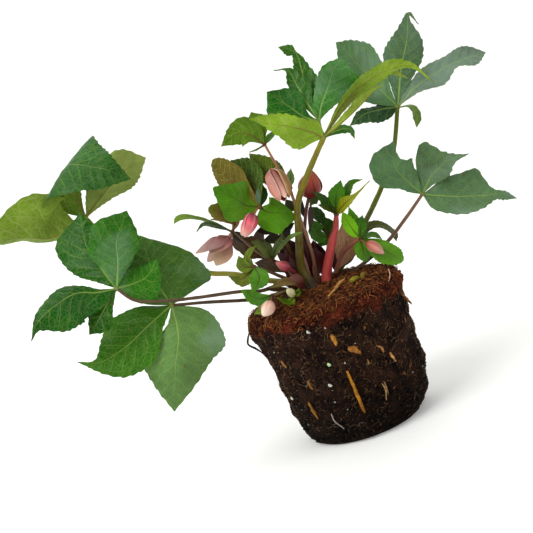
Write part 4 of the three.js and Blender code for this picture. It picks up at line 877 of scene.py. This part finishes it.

# Scales of the crown: papery dark maroon sheets and pale strips of old ones between the feet of
# the stems, and withered ones both there and higher up, on the stems. The darkest withered
# sheets higher up are put where the crown lies in shade, as painted shade. Each: its midrib,
# half widths left and right, and its colours where it isn't maroon.
SCALES_AND_SHADE_SHEETS = [
    ([(-9, 8, 107), (-10, 8, 120), (-5, 8, 143)], (3, 4, 3), (3, 4, 3)),
    ([(-3, 10, 107), (-3, 10, 119), (3, 10, 142)], (2, 3, 3), (2, 3, 3)),
    ([(1, 11, 107), (1, 11, 117), (9, 10, 138)], (2, 3, 2), (2, 3, 2)),
    ([(-13, 4, 107), (-16, 3, 121), (-14, 2, 141)], (3, 4, 3), (3, 4, 3)),
    ([(8, 12, 106), (8, 12, 116), (17, 12, 130)], (2, 3, 2), (2, 3, 2)),
    ([(-10, -1, 107), (-13, -2, 119), (-13, -2, 136)], (3, 4, 3), (3, 4, 3)),
    ([(-3, 1, 107), (-4, 1, 118), (-3, 0, 133)], (1, 1, 1), (1, 1, 1), "#a8766a", "#6a3c34"),
    ([(-1, 3, 107), (0, 3, 118), (4, 3, 130)], (0.7, 0.9, 0.7), (0.7, 0.9, 0.7), "#8c5a4c", "#5a3028"),
    ([(-9, -5, 107), (-15, -5, 119), (-19, -5, 129)], (0.7, 0.9, 0.7), (0.7, 0.9, 0.7), "#9c6a5c",
     "#6a3c34"),
    ([(2, 6, 107), (3, 7, 117), (4, 7, 128)], (0.7, 0.9, 0.7), (0.7, 0.9, 0.7), "#8c6048", "#5a3828"),
    # From here on, withered sheets higher up on the stems; the near-black ones are painted shade.
    ([(-12, 3, 142), (-9, 4, 154), (-3, 3, 167)], (3, 5, 3), (3, 4, 3), "#241a12", "#1c140e"),
    ([(3, -1, 134), (2, 2, 148), (1, 4, 163)], (2, 3, 2), (2, 3, 2), "#2c1410", "#24100c"),
    ([(-14, -3, 153), (-15, -1, 160), (-14, 0, 168)], (3, 4, 4), (3, 4, 4), "#33301a", "#282614"),
    ([(-14, -4, 154), (-20, -8, 158), (-29, -11, 161)], (2, 3, 3), (2, 4, 3), "#1a140c", "#14100a"),
    ([(-14, -4, 153), (-9, -3, 155), (-2, -2, 156)], (2, 4, 3), (2, 3, 3), "#15100a", "#100c08"),
    ([(-46, -15, 167), (-42, -13, 162), (-37, -10, 153)], (2, 3, 2), (2, 3, 2), "#140a0a", "#100808"),
    ([(-21, -19, 178), (-20, -19, 184), (-18, -19, 190)], (1.2, 2, 1.5), (1.2, 2, 1.5), "#4a6248",
     "#3c5038"),
    ([(-33, -8, 146), (-30, -7, 154), (-24, -6, 163)], (2, 4, 3), (2, 4, 3), "#3a2418", "#2c1a12"),
    ([(-14, -3, 151), (-20, -3, 151), (-27, -4, 152)], (3, 4, 2.5), (3, 4, 2.5), "#2a2612", "#1e1c0e"),
    ([(-19, -6, 125), (-29, -8, 135), (-38, -9, 140)], (3, 5, 4), (3, 4, 3), "#43341a", "#352a14"),
    ([(-45, -13, 165), (-45, -12, 158), (-42, -11, 149)], (2, 3.5, 3), (2, 3.5, 3), "#4c3a26", "#3c2c1c"),
    ([(-19, -8, 113), (-27, -10, 116), (-36, -12, 119)], (1, 1.6, 1.5), (1, 1.6, 1.5), "#5a4420",
     "#4a3418"),
    ([(7, 5, 155), (7, 5, 163), (9, 6, 172)], (1.5, 2.2, 2), (1.5, 2, 1.5), "#1c120c", "#14100a"),
    ([(3, -4, 164), (0, -3, 168), (-2, -2, 174)], (2, 3, 3), (2, 3, 3), "#2c3210", "#24280e"),
    ([(13, 3, 163), (17, 3, 166), (21, 3, 166)], (2, 4, 3), (2, 4, 3), "#3c5418", "#34481a"),
    ([(7, 6, 146), (11, 6, 155), (14, 5, 164)], (1.5, 2.2, 2), (1.5, 2.2, 2), "#3a1c16", "#2c1612"),
    ([(20, 11, 112), (27, 12, 116), (34, 12, 121)], (2, 3, 2.5), (2, 3, 2.5), "#55401f", "#463418"),
    ([(15, 13, 108), (17, 13, 118), (20, 13, 129)], (2, 3, 2.5), (2, 3, 2.5)),
]
MAROON = ("#3a080d", "#2c0509", "#4a1416", "#38100e")
parts = []
for rib, left, right, *tint in SCALES_AND_SHADE_SHEETS:
    seed += 1
    row = lobe(rib, (0.1, -0.95, 0.3), left, right, *(tint or MAROON))
    parts.append(blade(row, None, SHEATH, seed))
piece("crown_scales_and_shade_sheets", parts, flesh, "stem", "stem_2", "stem_3", "stem_4")


# ---------------------------------------------------------------------------------------------
# Bracts
# Soft leaf-like bracts in clusters on the flowering stems, thinner and brighter green than the
# leaves, some browned. A cluster tops its stem, or sits round it as a collar; its flower stalks
# are one with it.
# ---------------------------------------------------------------------------------------------

# Each cluster: its joint and the radius of the knob there, its flower stalk, and its bracts.
BRACTS = [
    dict(name="bracts_1", hub=(-3, -8, 216), knob=1.425, blades=[
        lobe([(-10, -8, 226), (-19, -6, 230), (-32, -4, 225)], (0.17, 0.93, 0.33), (9, 12, 6), (5, 11, 9),
             "#3e6904", "#4d7404"),
        lobe([(-4, -6, 228), (-4, -2, 240)], (0.14, 0.96, 0.23), (4, 9, 9), (3, 7, 7), "#487105",
             "#587c05"),
        lobe([(2, -10, 220), (9, -12, 222)], (0.44, -0.79, 0.42), (2, 2), (2, 2), "#396312", "#5e8205"),
        lobe([(-10, -12, 215), (-15, -14, 215)], (0.21, -0.7, 0.68), (0.6, 0.5), (0.6, 0.5), "#6d8a40",
             "#809947"),
    ]),
    dict(name="bracts_1_lower", hub=(3, -9, 182), knob=2.4, blades=[
        lobe([(-7, -2, 196), (-15, 2, 213)], (0.39, 0.92, 0.04), (9, 11, 8), (6, 9, 8), "#465c05",
             "#485f05"),
        lobe([(6, -2, 187), (9, 2, 193)], (0.58, -0.78, 0.24), (3, 3), (3, 3), "#6e8e40", "#738f3d"),
    ]),
    dict(name="bracts_3", hub=(-21, -20, 177), knob=1.65,
         stalk=[(-21, -20, 177), (-24, -27, 177), (-28, -32, 174)], blades=[
        lobe([(-33, -8, 199), (-41, -2, 218)], (0.39, 0.92, 0.04), (7, 12, 10), (6, 10, 8), "#7a6a3a",
             "#69581a", "#56560e", "#594f05", blunt=0.7),
        lobe([(-21, -4, 197), (-29, 4, 213)], (0.39, 0.92, 0.04), (7, 12, 10), (7, 13, 11), "#365a05",
             "#2e4b04"),
        lobe([(-30, -22, 182), (-37, -23, 191), (-47, -20, 201)], (0.08, -0.77, 0.64), (9, 17, 13),
             (8, 17, 11), "#4e7806", "#5e8205", "#3a7406", "#5e8205", blunt=0.5),
        lobe([(-20, -10, 187), (-24, -6, 197)], (0.27, -0.78, 0.57), (6, 8, 6), (6, 8, 6), "#1a4605",
             "#446606"),
        lobe([(-17, -21, 172), (-9, -17, 168), (1, -10, 161)], (0.14, -0.84, 0.52), (9, 12, 10),
             (12, 17, 13), "#498004", "#5e8205", blunt=0.5),
    ]),
    dict(name="bracts_4", hub=(-45, -14, 167), knob=1.425, blades=[
        lobe([(-41, -18, 174), (-48, -20, 182), (-55, -20, 189)], (0.21, -0.7, 0.68), (3, 5.5, 7),
             (3, 7, 9), "#8a5244", "#7c4a3c", "#626414", "#6c6417", blunt=0.7),
        lobe([(-41, -16, 172), (-47, -18, 177), (-56, -19, 181)], (0.21, -0.7, 0.68), (2, 3, 2),
             (2, 3, 2), "#6d5522", "#715422"),
        lobe([(-56, -16, 178), (-68, -18, 187), (-76, -20, 189), (-81, -22, 187)], (0.27, -0.48, 0.84),
             (1.5, 2, 3, 2.5), (1.5, 2, 3, 3), "#64851a", "#889927"),
        lobe([(-54, -18, 175), (-62, -22, 180), (-68, -26, 177)], (0.27, -0.48, 0.84), (3, 4, 2),
             (2, 3, 1), "#2e4e0e", "#465715"),
    ]),
    dict(name="bracts_4_lower", hub=(-26, -5, 137), knob=2.5, blades=[
        lobe([(-27, -9, 147), (-35, -12, 155)], (0.34, -0.6, 0.73), (5, 8, 6), (6, 8, 6), "#5c6634",
             "#565c24"),
        lobe([(-31, -2, 145), (-38, 0, 151), (-44, 1, 159)], (0.1, -0.9, 0.43), (5, 8, 7), (6, 10, 8),
             "#3c1a14", "#30140f", "#5c3a2c", "#4c2e20"),
        lobe([(-20, -11, 145), (-12, -13, 153)], (0.3, -0.83, 0.47), (2, 2.5), (2, 2.5), "#43502a",
             "#4a5428"),
        lobe([(-17, -15, 145), (-9, -21, 150), (1, -23, 151)], (-0.3, -0.59, 0.75), (1.5, 2, 2),
             (1.5, 2, 2), "#5e7732", "#647430"),
    ]),
    dict(name="bracts_5", hub=(-39, -20, 139), knob=1.5, blades=[
        lobe([(-42, -22, 146), (-38, -24, 151), (-33, -24, 153)], (-0.37, -0.73, 0.58), (3, 3, 2),
             (3, 3, 2), "#586905", "#75820e"),
        lobe([(-46, -20, 142), (-47, -20, 150)], (0.1, -0.9, 0.43), (4, 4), (4, 5), "#556604", "#727e08"),
        lobe([(-38, -28, 132), (-42, -34, 128), (-47, -37, 125)], (0.1, -0.9, 0.43), (6, 6, 2), (7, 7, 4),
             "#417706", "#5f8a10"),
        lobe([(-50, -20, 134), (-58, -22, 139)], (0.1, -0.9, 0.43), (5, 6, 3), (3, 3, 2), "#5a6008",
             "#7c8410"),
    ]),
    dict(name="bracts_6", hub=(-34, -28, 117), knob=1.5,
         stalk=[(-35, -29, 116), (-36, -34, 115), (-37, -37, 113)], blades=[
        lobe([(-44, -31, 119), (-53, -34, 129)], (0.17, -0.78, 0.6), (3, 6, 5), (3, 5, 4), "#4a8a10",
             "#6a8a1a"),
        lobe([(-43, -30, 111), (-50, -33, 110)], (0.14, -0.84, 0.52), (3, 3), (3, 3), "#86a83a",
             "#8fa044"),
    ]),
    dict(name="bracts_6_lower", hub=(-20, -23, 110), knob=1.35,
         stalk=[(-20, -23, 110), (-20, -28, 112), (-21, -30, 114)], blades=[
        lobe([(-25, -26, 108), (-31, -32, 115)], (0.24, -0.59, 0.77), (3, 3, 3), (3, 4, 3), "#628514",
             "#809920"),
        lobe([(-17, -25, 112), (-15, -27, 115)], (0.44, -0.79, 0.42), (2, 2), (2, 2), "#628514",
             "#809920"),
    ]),
    dict(name="bracts_7", hub=(28, -6, 152), knob=1.8, blades=[
        lobe([(24, -10, 163), (18, -14, 174)], (-0.08, -0.63, 0.77), (3, 5, 3), (3, 4, 3), "#1e4905",
             "#446606"),
        lobe([(24, -12, 159), (18, -15, 164)], (-0.08, -0.63, 0.77), (3, 4, 3), (3, 3, 3), "#3b4705",
             "#53560c"),
        lobe([(31, -8, 162), (35, -8, 169), (39, -7, 174)], (0.07, -0.94, 0.34), (4, 6, 3), (4, 6, 4),
             "#3a7604", "#5e8205"),
        lobe([(37, -4, 161), (45, -3, 169), (54, -3, 169)], (-0.18, -0.83, 0.52), (3, 3, 2), (3, 4, 2),
             "#396a07", "#5e8205"),
        lobe([(34, -12, 157), (42, -16, 161), (57, -18, 168)], (0.17, -0.78, 0.61), (6, 5, 1),
             (4, 4, 1.5), "#838808", "#8b8c11"),
    ]),
    dict(name="bracts_8", hub=(39, 0, 129), knob=1.575,
         stalk=[(39, -1, 128), (41, -8, 126), (43, -10, 124)], blades=[
        lobe([(35, -2, 140), (33, -2, 152)], (-0.02, -0.75, 0.66), (4, 5, 4), (4, 5, 4), "#6dae04",
             "#5e8205"),
        lobe([(39, 2, 140), (39, 4, 153)], (-0.02, -0.75, 0.66), (4, 4, 3), (4, 5, 3), "#4b8c04",
             "#5e8205"),
        lobe([(42, 0, 137), (46, 2, 144)], (0.1, -0.9, 0.43), (3, 4), (4, 4), "#306905", "#5e8205"),
        lobe([(49, 8, 134), (58, 13, 131), (65, 18, 122), (65, 19, 115)], (0.45, -0.53, 0.72),
             (3, 4, 4, 4), (3, 4, 4, 4), "#43480e", "#4e4a11"),
        lobe([(48, -2, 129), (53, -4, 124)], (0.45, -0.53, 0.72), (3, 3), (3, 3), "#2c5c0a", "#446606"),
        lobe([(38, -3, 120), (37, -4, 112)], (0.1, -0.9, 0.43), (7, 7, 5), (6, 6, 5), "#487c04",
             "#5e8205"),
        lobe([(50, -4, 118), (57, -8, 110), (62, -10, 105)], (0.14, -0.84, 0.52), (6, 8, 7), (8, 10, 7),
             "#528904", "#68850a", blunt=0.6),
    ]),
    dict(name="bracts_9", hub=(19, 14, 136), knob=1.5, blades=[
        lobe([(18, 14, 152), (12, 12, 161)], (0.17, -0.78, 0.61), (1, 5, 5), (1, 4, 4), "#1a4607",
             "#446606"),
        lobe([(12, 9, 141), (11, 8, 153)], (0.14, -0.84, 0.52), (5, 6, 5), (4, 6, 6), "#336905",
             "#5e8205"),
        lobe([(13, 9, 134), (11, 7, 132)], (0.14, -0.84, 0.52), (3, 3), (3, 3), "#214e05", "#446606"),
        lobe([(21, 16, 143), (21, 18, 150)], (0.14, -0.84, 0.52), (5, 5), (5, 5), "#1e4605", "#446606"),
    ]),
]
BRACT = dict(step=0.8, across=9, thickness=0.4, tooth=3.4, bite=0.7, vein_spacing=6.0, lean=0.8,
             quilt=0.4, flutter=0.7)
# Bract: thin and tender, a fresh green with a soft satin gloss, a little painted sheen and a shallower
# net of veins.
tender = lamina_material("tender bract blade", roughness=0.42, net=1.7, net_strength=0.12,
                         side_strength=0.32, ribs=("#40301a", "#6e3c26"), spots=0.5, painted_sheen_share=0.12)
for cluster in BRACTS:
    seed += 1
    name, hub = cluster["name"], cluster["hub"]
    parts = [knob(hub, cluster["knob"], "#6d4a2c", seed)]
    if "stalk" in cluster:
        parts.append(stalk(cluster["stalk"], (0.8, 0.8), ("#8f5742",) * 2, seed, step=0.8))
    for row in cluster["blades"]:
        seed += 1
        parts.append(blade(row, hub, BRACT, seed))
    piece(name + "_blades", parts, tender, "bract", name)


# ---------------------------------------------------------------------------------------------
# Flowers
# Six closed buds of five lapping sepals, one half-open nodding bell with a dark red throat round
# its stamens, and one bloom that is nearly over. Waxy petal-like sepals, about 0.4 mm thick,
# seated on the ends of the stems and stalks.
# ---------------------------------------------------------------------------------------------

# Each closed bud: where it sits, its tip, its radius, a lower power for its girth where it is
# blunt, and its colours at the foot, in the middle and at the tip.
BUDS = [
    dict(name="bud_2", base=(14, 2, 169), tip=(22.5, 0, 187), radius=8.1,
         colours=("#740b0f", "#8f2616", "#994929")),
    dict(name="bud_3", base=(-27, -31, 175), tip=(-39, -38, 164), radius=4.9, blunt=0.42,
         colours=("#4a0c18", "#d2445c", "#efbcaa")),
    dict(name="bud_6", base=(-36, -36, 114), tip=(-45, -45, 109), radius=4.5,
         colours=("#c58f78", "#ecc3ae", "#efd3bd")),
    dict(name="bud_6_lower", base=(-20, -28, 112), tip=(-23, -35, 119), radius=2.7,
         colours=("#a9a55c", "#d3d09a", "#e3dfb8")),
    dict(name="bud_8", base=(42, -9, 126), tip=(50, -17, 115.5), radius=3.7,
         colours=("#a83c34", "#c07c68", "#d8a090")),
    dict(name="bud_10", base=(-16, -14, 128), tip=(-24, -20, 137), radius=3.2,
         colours=("#6c1f2c", "#a23c4a", "#bd6a66")),
]
SEPALS = 5
SEPAL_THICKNESS = 0.45
SEPAL_ALONG = 30     # points from foot to tip
SEPAL_ACROSS = 13    # and from edge to edge
LAP = 0.14           # how far a sepal's inner edge is drawn in, as a share of the girth
TWIST = 0.6          # how far the bud twists from foot to tip, in sepals
OVERLAP = 1.35       # a sepal's width, where 1 would just close the round


def round_axis(base, tip):
    """A bud's unit axis, its length, and two directions square to it, right-handed about it."""
    axis = np.subtract(tip, base).astype(float)
    length = np.linalg.norm(axis)
    axis = axis / length
    first = unit(np.cross(axis, (0.3, 0.9, 0.1)))
    return axis, length, first, np.cross(axis, first)


def sepals(bud, seed):
    """Five plates wrapped round an egg: at t along the axis the egg's girth is radius times
    (0.18 (1 - t) + sin(pi t^0.8)^0.75), or a lower power for a blunt one. Each plate runs from
    its outer edge across a fifth of the turn and a third more, in under the next one, while the
    whole slowly twists."""
    axis, length, first, second = round_axis(bud["base"], bud["tip"])
    radius = bud["radius"]
    t = np.linspace(0.015, 0.985, SEPAL_ALONG)[:, None]
    x = eased(SEPAL_ACROSS)[None, :]
    low, middle, high = map(linear, bud["colours"])
    parts = []
    for k in range(SEPALS):
        seed += 1
        spread = (k - TWIST * t + x * OVERLAP) / SEPALS * 2 * np.pi
        girth = radius * (0.18 * (1 - t) + np.sin(np.pi * t**0.8) ** bud.get("blunt", 0.75))
        girth = girth * (1 - LAP * OVERLAP * x * np.sin(np.pi * t))
        out = circled(first, second, spread)
        body = np.asarray(bud["base"], float) + axis * (length * t)[..., None]
        pucker = 0.02 * radius * np.sin(3 * spread + 5 * t + seed)
        inside = np.maximum(girth + pucker - SEPAL_THICKNESS, 0.1)
        rings = there_and_back(body + out * (girth + pucker)[..., None],
                               body + out * inside[..., None])
        along = np.clip(t + 0.1 * lumps(rings, 6, seed), 0, 1)[..., None]
        tint = np.where(along < 0.5, low + (middle - low) * (2 * along),
                        middle + (high - middle) * (2 * along - 1))
        edge = there_and_back(x, x)[..., None]
        tint = tint + (high - tint) * 0.55 * np.exp(-edge / 0.07)
        run = grid(length * t, 1.6 * x * girth[:, [0]], 1.0)
        parts.append((rings, dict(tint=tint, lamina=there_and_back(run, run * (1, 1, -1)))))
    return parts


# Sepal: a waxy petal, soft pink to cream, finely lined with darker veins, with a low satin gloss
# and a little light passing into it. The veins are drawn a millimetre apart, as on the flower.
petal, tree, shader = surface("waxy petal", Specular_IOR_Level=0.45, Roughness=0.46,
                              Subsurface_Weight=0.15, Subsurface_Scale=0.0015)
place, tint, run = marks_of(tree)
across = add(tree, "SeparateXYZ", [run])["Y"]
drift = add(tree, "TexNoise", dict(Vector=place, Scale=METRE / 5.26, Detail=2))["Fac"]
count = add(tree, "Math", [drift, 1.3, across], operation="MULTIPLY_ADD")[0]
wave = add(tree, "Math", [count, 0.5], operation="PINGPONG")[0]
vein = add(tree, "MapRange", [wave, 0.03, 0.2, 0.42, 0.0])[0]
deep = add(tree, "Mix", dict(Factor=1.0, A=tint, B=rgba("#c98a80")), **TIMES)["Result"]
colour = add(tree, "Mix", dict(Factor=vein, A=tint, B=deep), **BLEND)["Result"]
broad = add(tree, "TexNoise", dict(Vector=place, Scale=METRE / 7.69, Detail=4))["Fac"]
shade = add(tree, "MapRange", [broad, 0.35, 0.65, 0.84, 1.1])[0]
colour = add(tree, "Mix", dict(Factor=1.0, A=colour, B=shade), **TIMES)["Result"]
bump = add(tree, "Bump", dict(Height=wave, Strength=0.35, Distance=0.0004))["Normal"]
feed(shader, {"Base Color": colour, "Normal": bump})

for bud in BUDS:
    seed += 10
    piece(bud["name"] + "_sepals", sepals(bud, seed), petal, "petal", bud["name"])

# The nodding bell: five sepals from its foot, and a sixth curled up inside them, round a boss of
# stamens. Each: its place round the bell in degrees, how far out it stands, its half widths as
# shares of the bell's radius, its colours outside at foot and tip and round the rim, and how late
# the second of them comes. BELL_FORM is each one's midrib: shares of the length and the radius.
BELL_BASE = (-5, -15, 199)
BELL_TIP = (-3, -25, 177)
BELL_RADIUS = 8.4
BELL_FORM = ((0, 0.12), (0.22, 0.84), (0.6, 1.0), (0.86, 0.78), (1.0, 0.5))
BELL_INSIDE = ("#54060f", "#b8705c")
BELL = [
    (2, 1.0, (0.42, 0.56, 0.5, 0.4), "#825021", "#a47d42", "#ecd2ae", 1),
    (118, 1.0, (0.46, 0.64, 0.62, 0.45), "#b36b60", "#ce9482", "#efcdbd", 1),
    (52, 0.66, (0.3, 0.42, 0.4, 0.3), "#8c0814", "#f8c8b4", "#f0cdbc", 1.2),
    (168, 0.9, (0.5, 0.76, 0.72, 0.45), "#c47e70", "#dca492", "#e9c3b2", 1),
    (240, 0.9, (0.5, 0.76, 0.72, 0.45), "#b87464", "#dca492", "#e9c3b2", 1),
    (312, 0.9, (0.5, 0.76, 0.72, 0.45), "#b87464", "#dca492", "#e9c3b2", 1),
]
PETAL = dict(step=0.45, across=10, thickness=0.4, tooth=60, bite=0.0, vein_spacing=60, lean=0.2,
             quilt=0.0, flutter=0.9)
axis, length, first, second = round_axis(BELL_BASE, BELL_TIP)
base = np.array(BELL_BASE, float)
parts = []
for place, reach, widths, foot, tip, rim, late in BELL:
    seed += 1
    out = circled(first, second, np.radians(place))
    rib = [tuple(base + axis * length * t + out * BELL_RADIUS * reach * r) for t, r in BELL_FORM]
    half = tuple(BELL_RADIUS * w for w in widths)
    row = lobe(rib, out, half, half, foot, BELL_INSIDE[0], tip, BELL_INSIDE[1], blunt=0.5,
               cup=(-64, -64), rim=rim, late=late)
    parts.append(blade(row, None, PETAL, seed))
piece("bud_1_sepals", parts, petal, "petal", "bud_1")

# The stamens: threads that fan out from the bell's foot, each with a swollen anther near its tip.
STAMENS = 34
rng = np.random.default_rng(7)
turn = rng.uniform(0, 2 * np.pi, (STAMENS, 1))
spread = rng.uniform(0.1, 0.42, (STAMENS, 1)) * BELL_RADIUS
reach = rng.uniform(0.45, 0.72, (STAMENS, 1)) * length
s = np.linspace(0, 1, 9)[None, :]
paths = (base + axis * (reach * s)[..., None]
         + circled(first, second, turn) * (spread * s**0.6)[..., None])
girth = 0.16 + 0.42 * np.exp(-((s - 0.94) / 0.05) ** 2) + 0 * spread
tone = np.repeat(blended("#8d5a3c", "#d8c98c", s + 0 * spread)[:, :, None], 5, axis=2)
marks = dict(tint=tone, lamina=0 * tone)
piece("bud_1_stamens", [(hanks(paths, girth, 5), marks)], petal, "petal", "bud_1")

# The bloom that is nearly over: four faded sepals on a small hub.
BLOOM_HUB = (-47, -17, 165)
BLOOM = [
    lobe([(-54, -22, 163), (-65, -25, 160)], (-0.05, -0.86, 0.5), (5, 6, 4), (5, 6, 4), "#7c2834",
         "#8f5a58", "#b38a7e", "#b19a67", blunt=0.5),
    lobe([(-58, -22, 165), (-74, -26, 163)], (-0.11, -0.71, 0.7), (4, 6, 4), (3, 5, 3.5), "#84404a",
         "#8f5a58", "#a98c84", "#b19a67", blunt=0.3),
    lobe([(-55, -18, 157), (-64, -19, 149)], (-0.12, -0.91, 0.41), (4, 7, 6), (3, 6, 6), "#8c4048",
         "#8f5a58", "#c0a480", "#b19a67", blunt=0.5),
    lobe([(-58, -15, 159), (-69, -14, 153)], (-0.12, -0.8, 0.55), (3, 5, 4), (3, 5, 4), "#84404a",
         "#8f5a58", "#b1957f", "#b19a67", blunt=0.5),
]
parts = [knob(BLOOM_HUB, 1.7, "#7c5a40", seed)]
for row in BLOOM:
    seed += 1
    parts.append(blade(row, BLOOM_HUB, PETAL, seed))
piece("bloom_4_sepals", parts, petal, "petal", "bloom_4")


# ---------------------------------------------------------------------------------------------
# Studio
# A pale dish of smooth matt board: flat under the plant and curved up far out, so that it shows
# behind it from every side. Broad soft lights hang over it, and the plant stands at its middle.
# ---------------------------------------------------------------------------------------------

# The dish, in metres: its flat part's radius, its rim's radius, its height, and points round.
DISH_FLAT = 2.0
DISH_RIM = 3.4
DISH_HEIGHT = 2.6
DISH_ROUND = 96
radius = np.concatenate([np.linspace(0.02, DISH_FLAT, 14), np.linspace(DISH_FLAT, DISH_RIM, 30)[1:]])
bend = np.clip((radius - DISH_FLAT) / (DISH_RIM - DISH_FLAT), 0, 1)
height = DISH_HEIGHT * (1 - np.sqrt(1 - (0.999 * bend) ** 2))
turn = turns(DISH_ROUND)
dish = grid(radius[:, None] * np.cos(turn), radius[:, None] * np.sin(turn), height[:, None])
# Turned the other way round, its faces look up; the fan at the rim's end is left out.
points, quads, triangles = skin(dish[:, ::-1][None])
mesh = bpy.data.meshes.new("floor")
mesh.from_pydata(points.tolist(), [], quads.tolist() + triangles[:DISH_ROUND].tolist())
mesh.update()
mesh.polygons.foreach_set("use_smooth", np.ones(len(mesh.polygons), bool))
floor = in_scene("floor", mesh)
# White board: matt, and glowing a little of itself, as a lit paper backdrop does.
board = surface("matt white board", Roughness=0.9, Specular_IOR_Level=0.2,
                Base_Color=rgba("#eeeeec"), Emission_Color=rgba("#ffffff"),
                Emission_Strength=0.17)[0]
mesh.materials.append(board)

world = bpy.context.scene.world or bpy.data.worlds.new("studio")
bpy.context.scene.world = world
world.use_nodes = True
feed(world.node_tree.nodes["Background"], dict(Color=rgba("#ffffff"), Strength=0.5))


def lamp(name, place, width, power, at=(0, 0, 0.13)):
    """A square soft light of this width in metres, turned to face a point, by default the middle
    of the plant."""
    light = bpy.data.lights.new(name, "AREA")
    light.size = width
    light.energy = power
    made = in_scene(name, light)
    made.location = place
    made.rotation_mode = "QUATERNION"
    made.rotation_quaternion = Vector(np.subtract(place, at)).to_track_quat("Z", "Y")


lamp("key", (-0.95, -0.75, 1.45), 1.0, 21)
lamp("back", (0.4, 1.3, 1.6), 1.2, 7)
lamp("wash", (-0.9, 1.1, 2.3), 1.6, 26, at=(-1.3, 2.9, 0.7))

# Camera: nine degrees above the plant's middle and rolled twenty degrees, 0.9 m off.
CAMERA_PLACE = (-0.030993, -0.883798, 0.273122)
RIGHT = (0.93969, -0.05350, -0.33781)
UP = (0.34202, 0.14700, 0.92812)
BACK = (0.0, -0.98769, 0.15643)
camera = bpy.data.cameras.new("camera")
camera.lens = 84.43
camera.sensor_width = 36
view = in_scene("camera", camera)
view.matrix_world = Matrix((*zip(RIGHT, UP, BACK, CAMERA_PLACE), (0, 0, 0, 1)))
bpy.context.scene.camera = view
bpy.context.scene.view_settings.view_transform = "Standard"
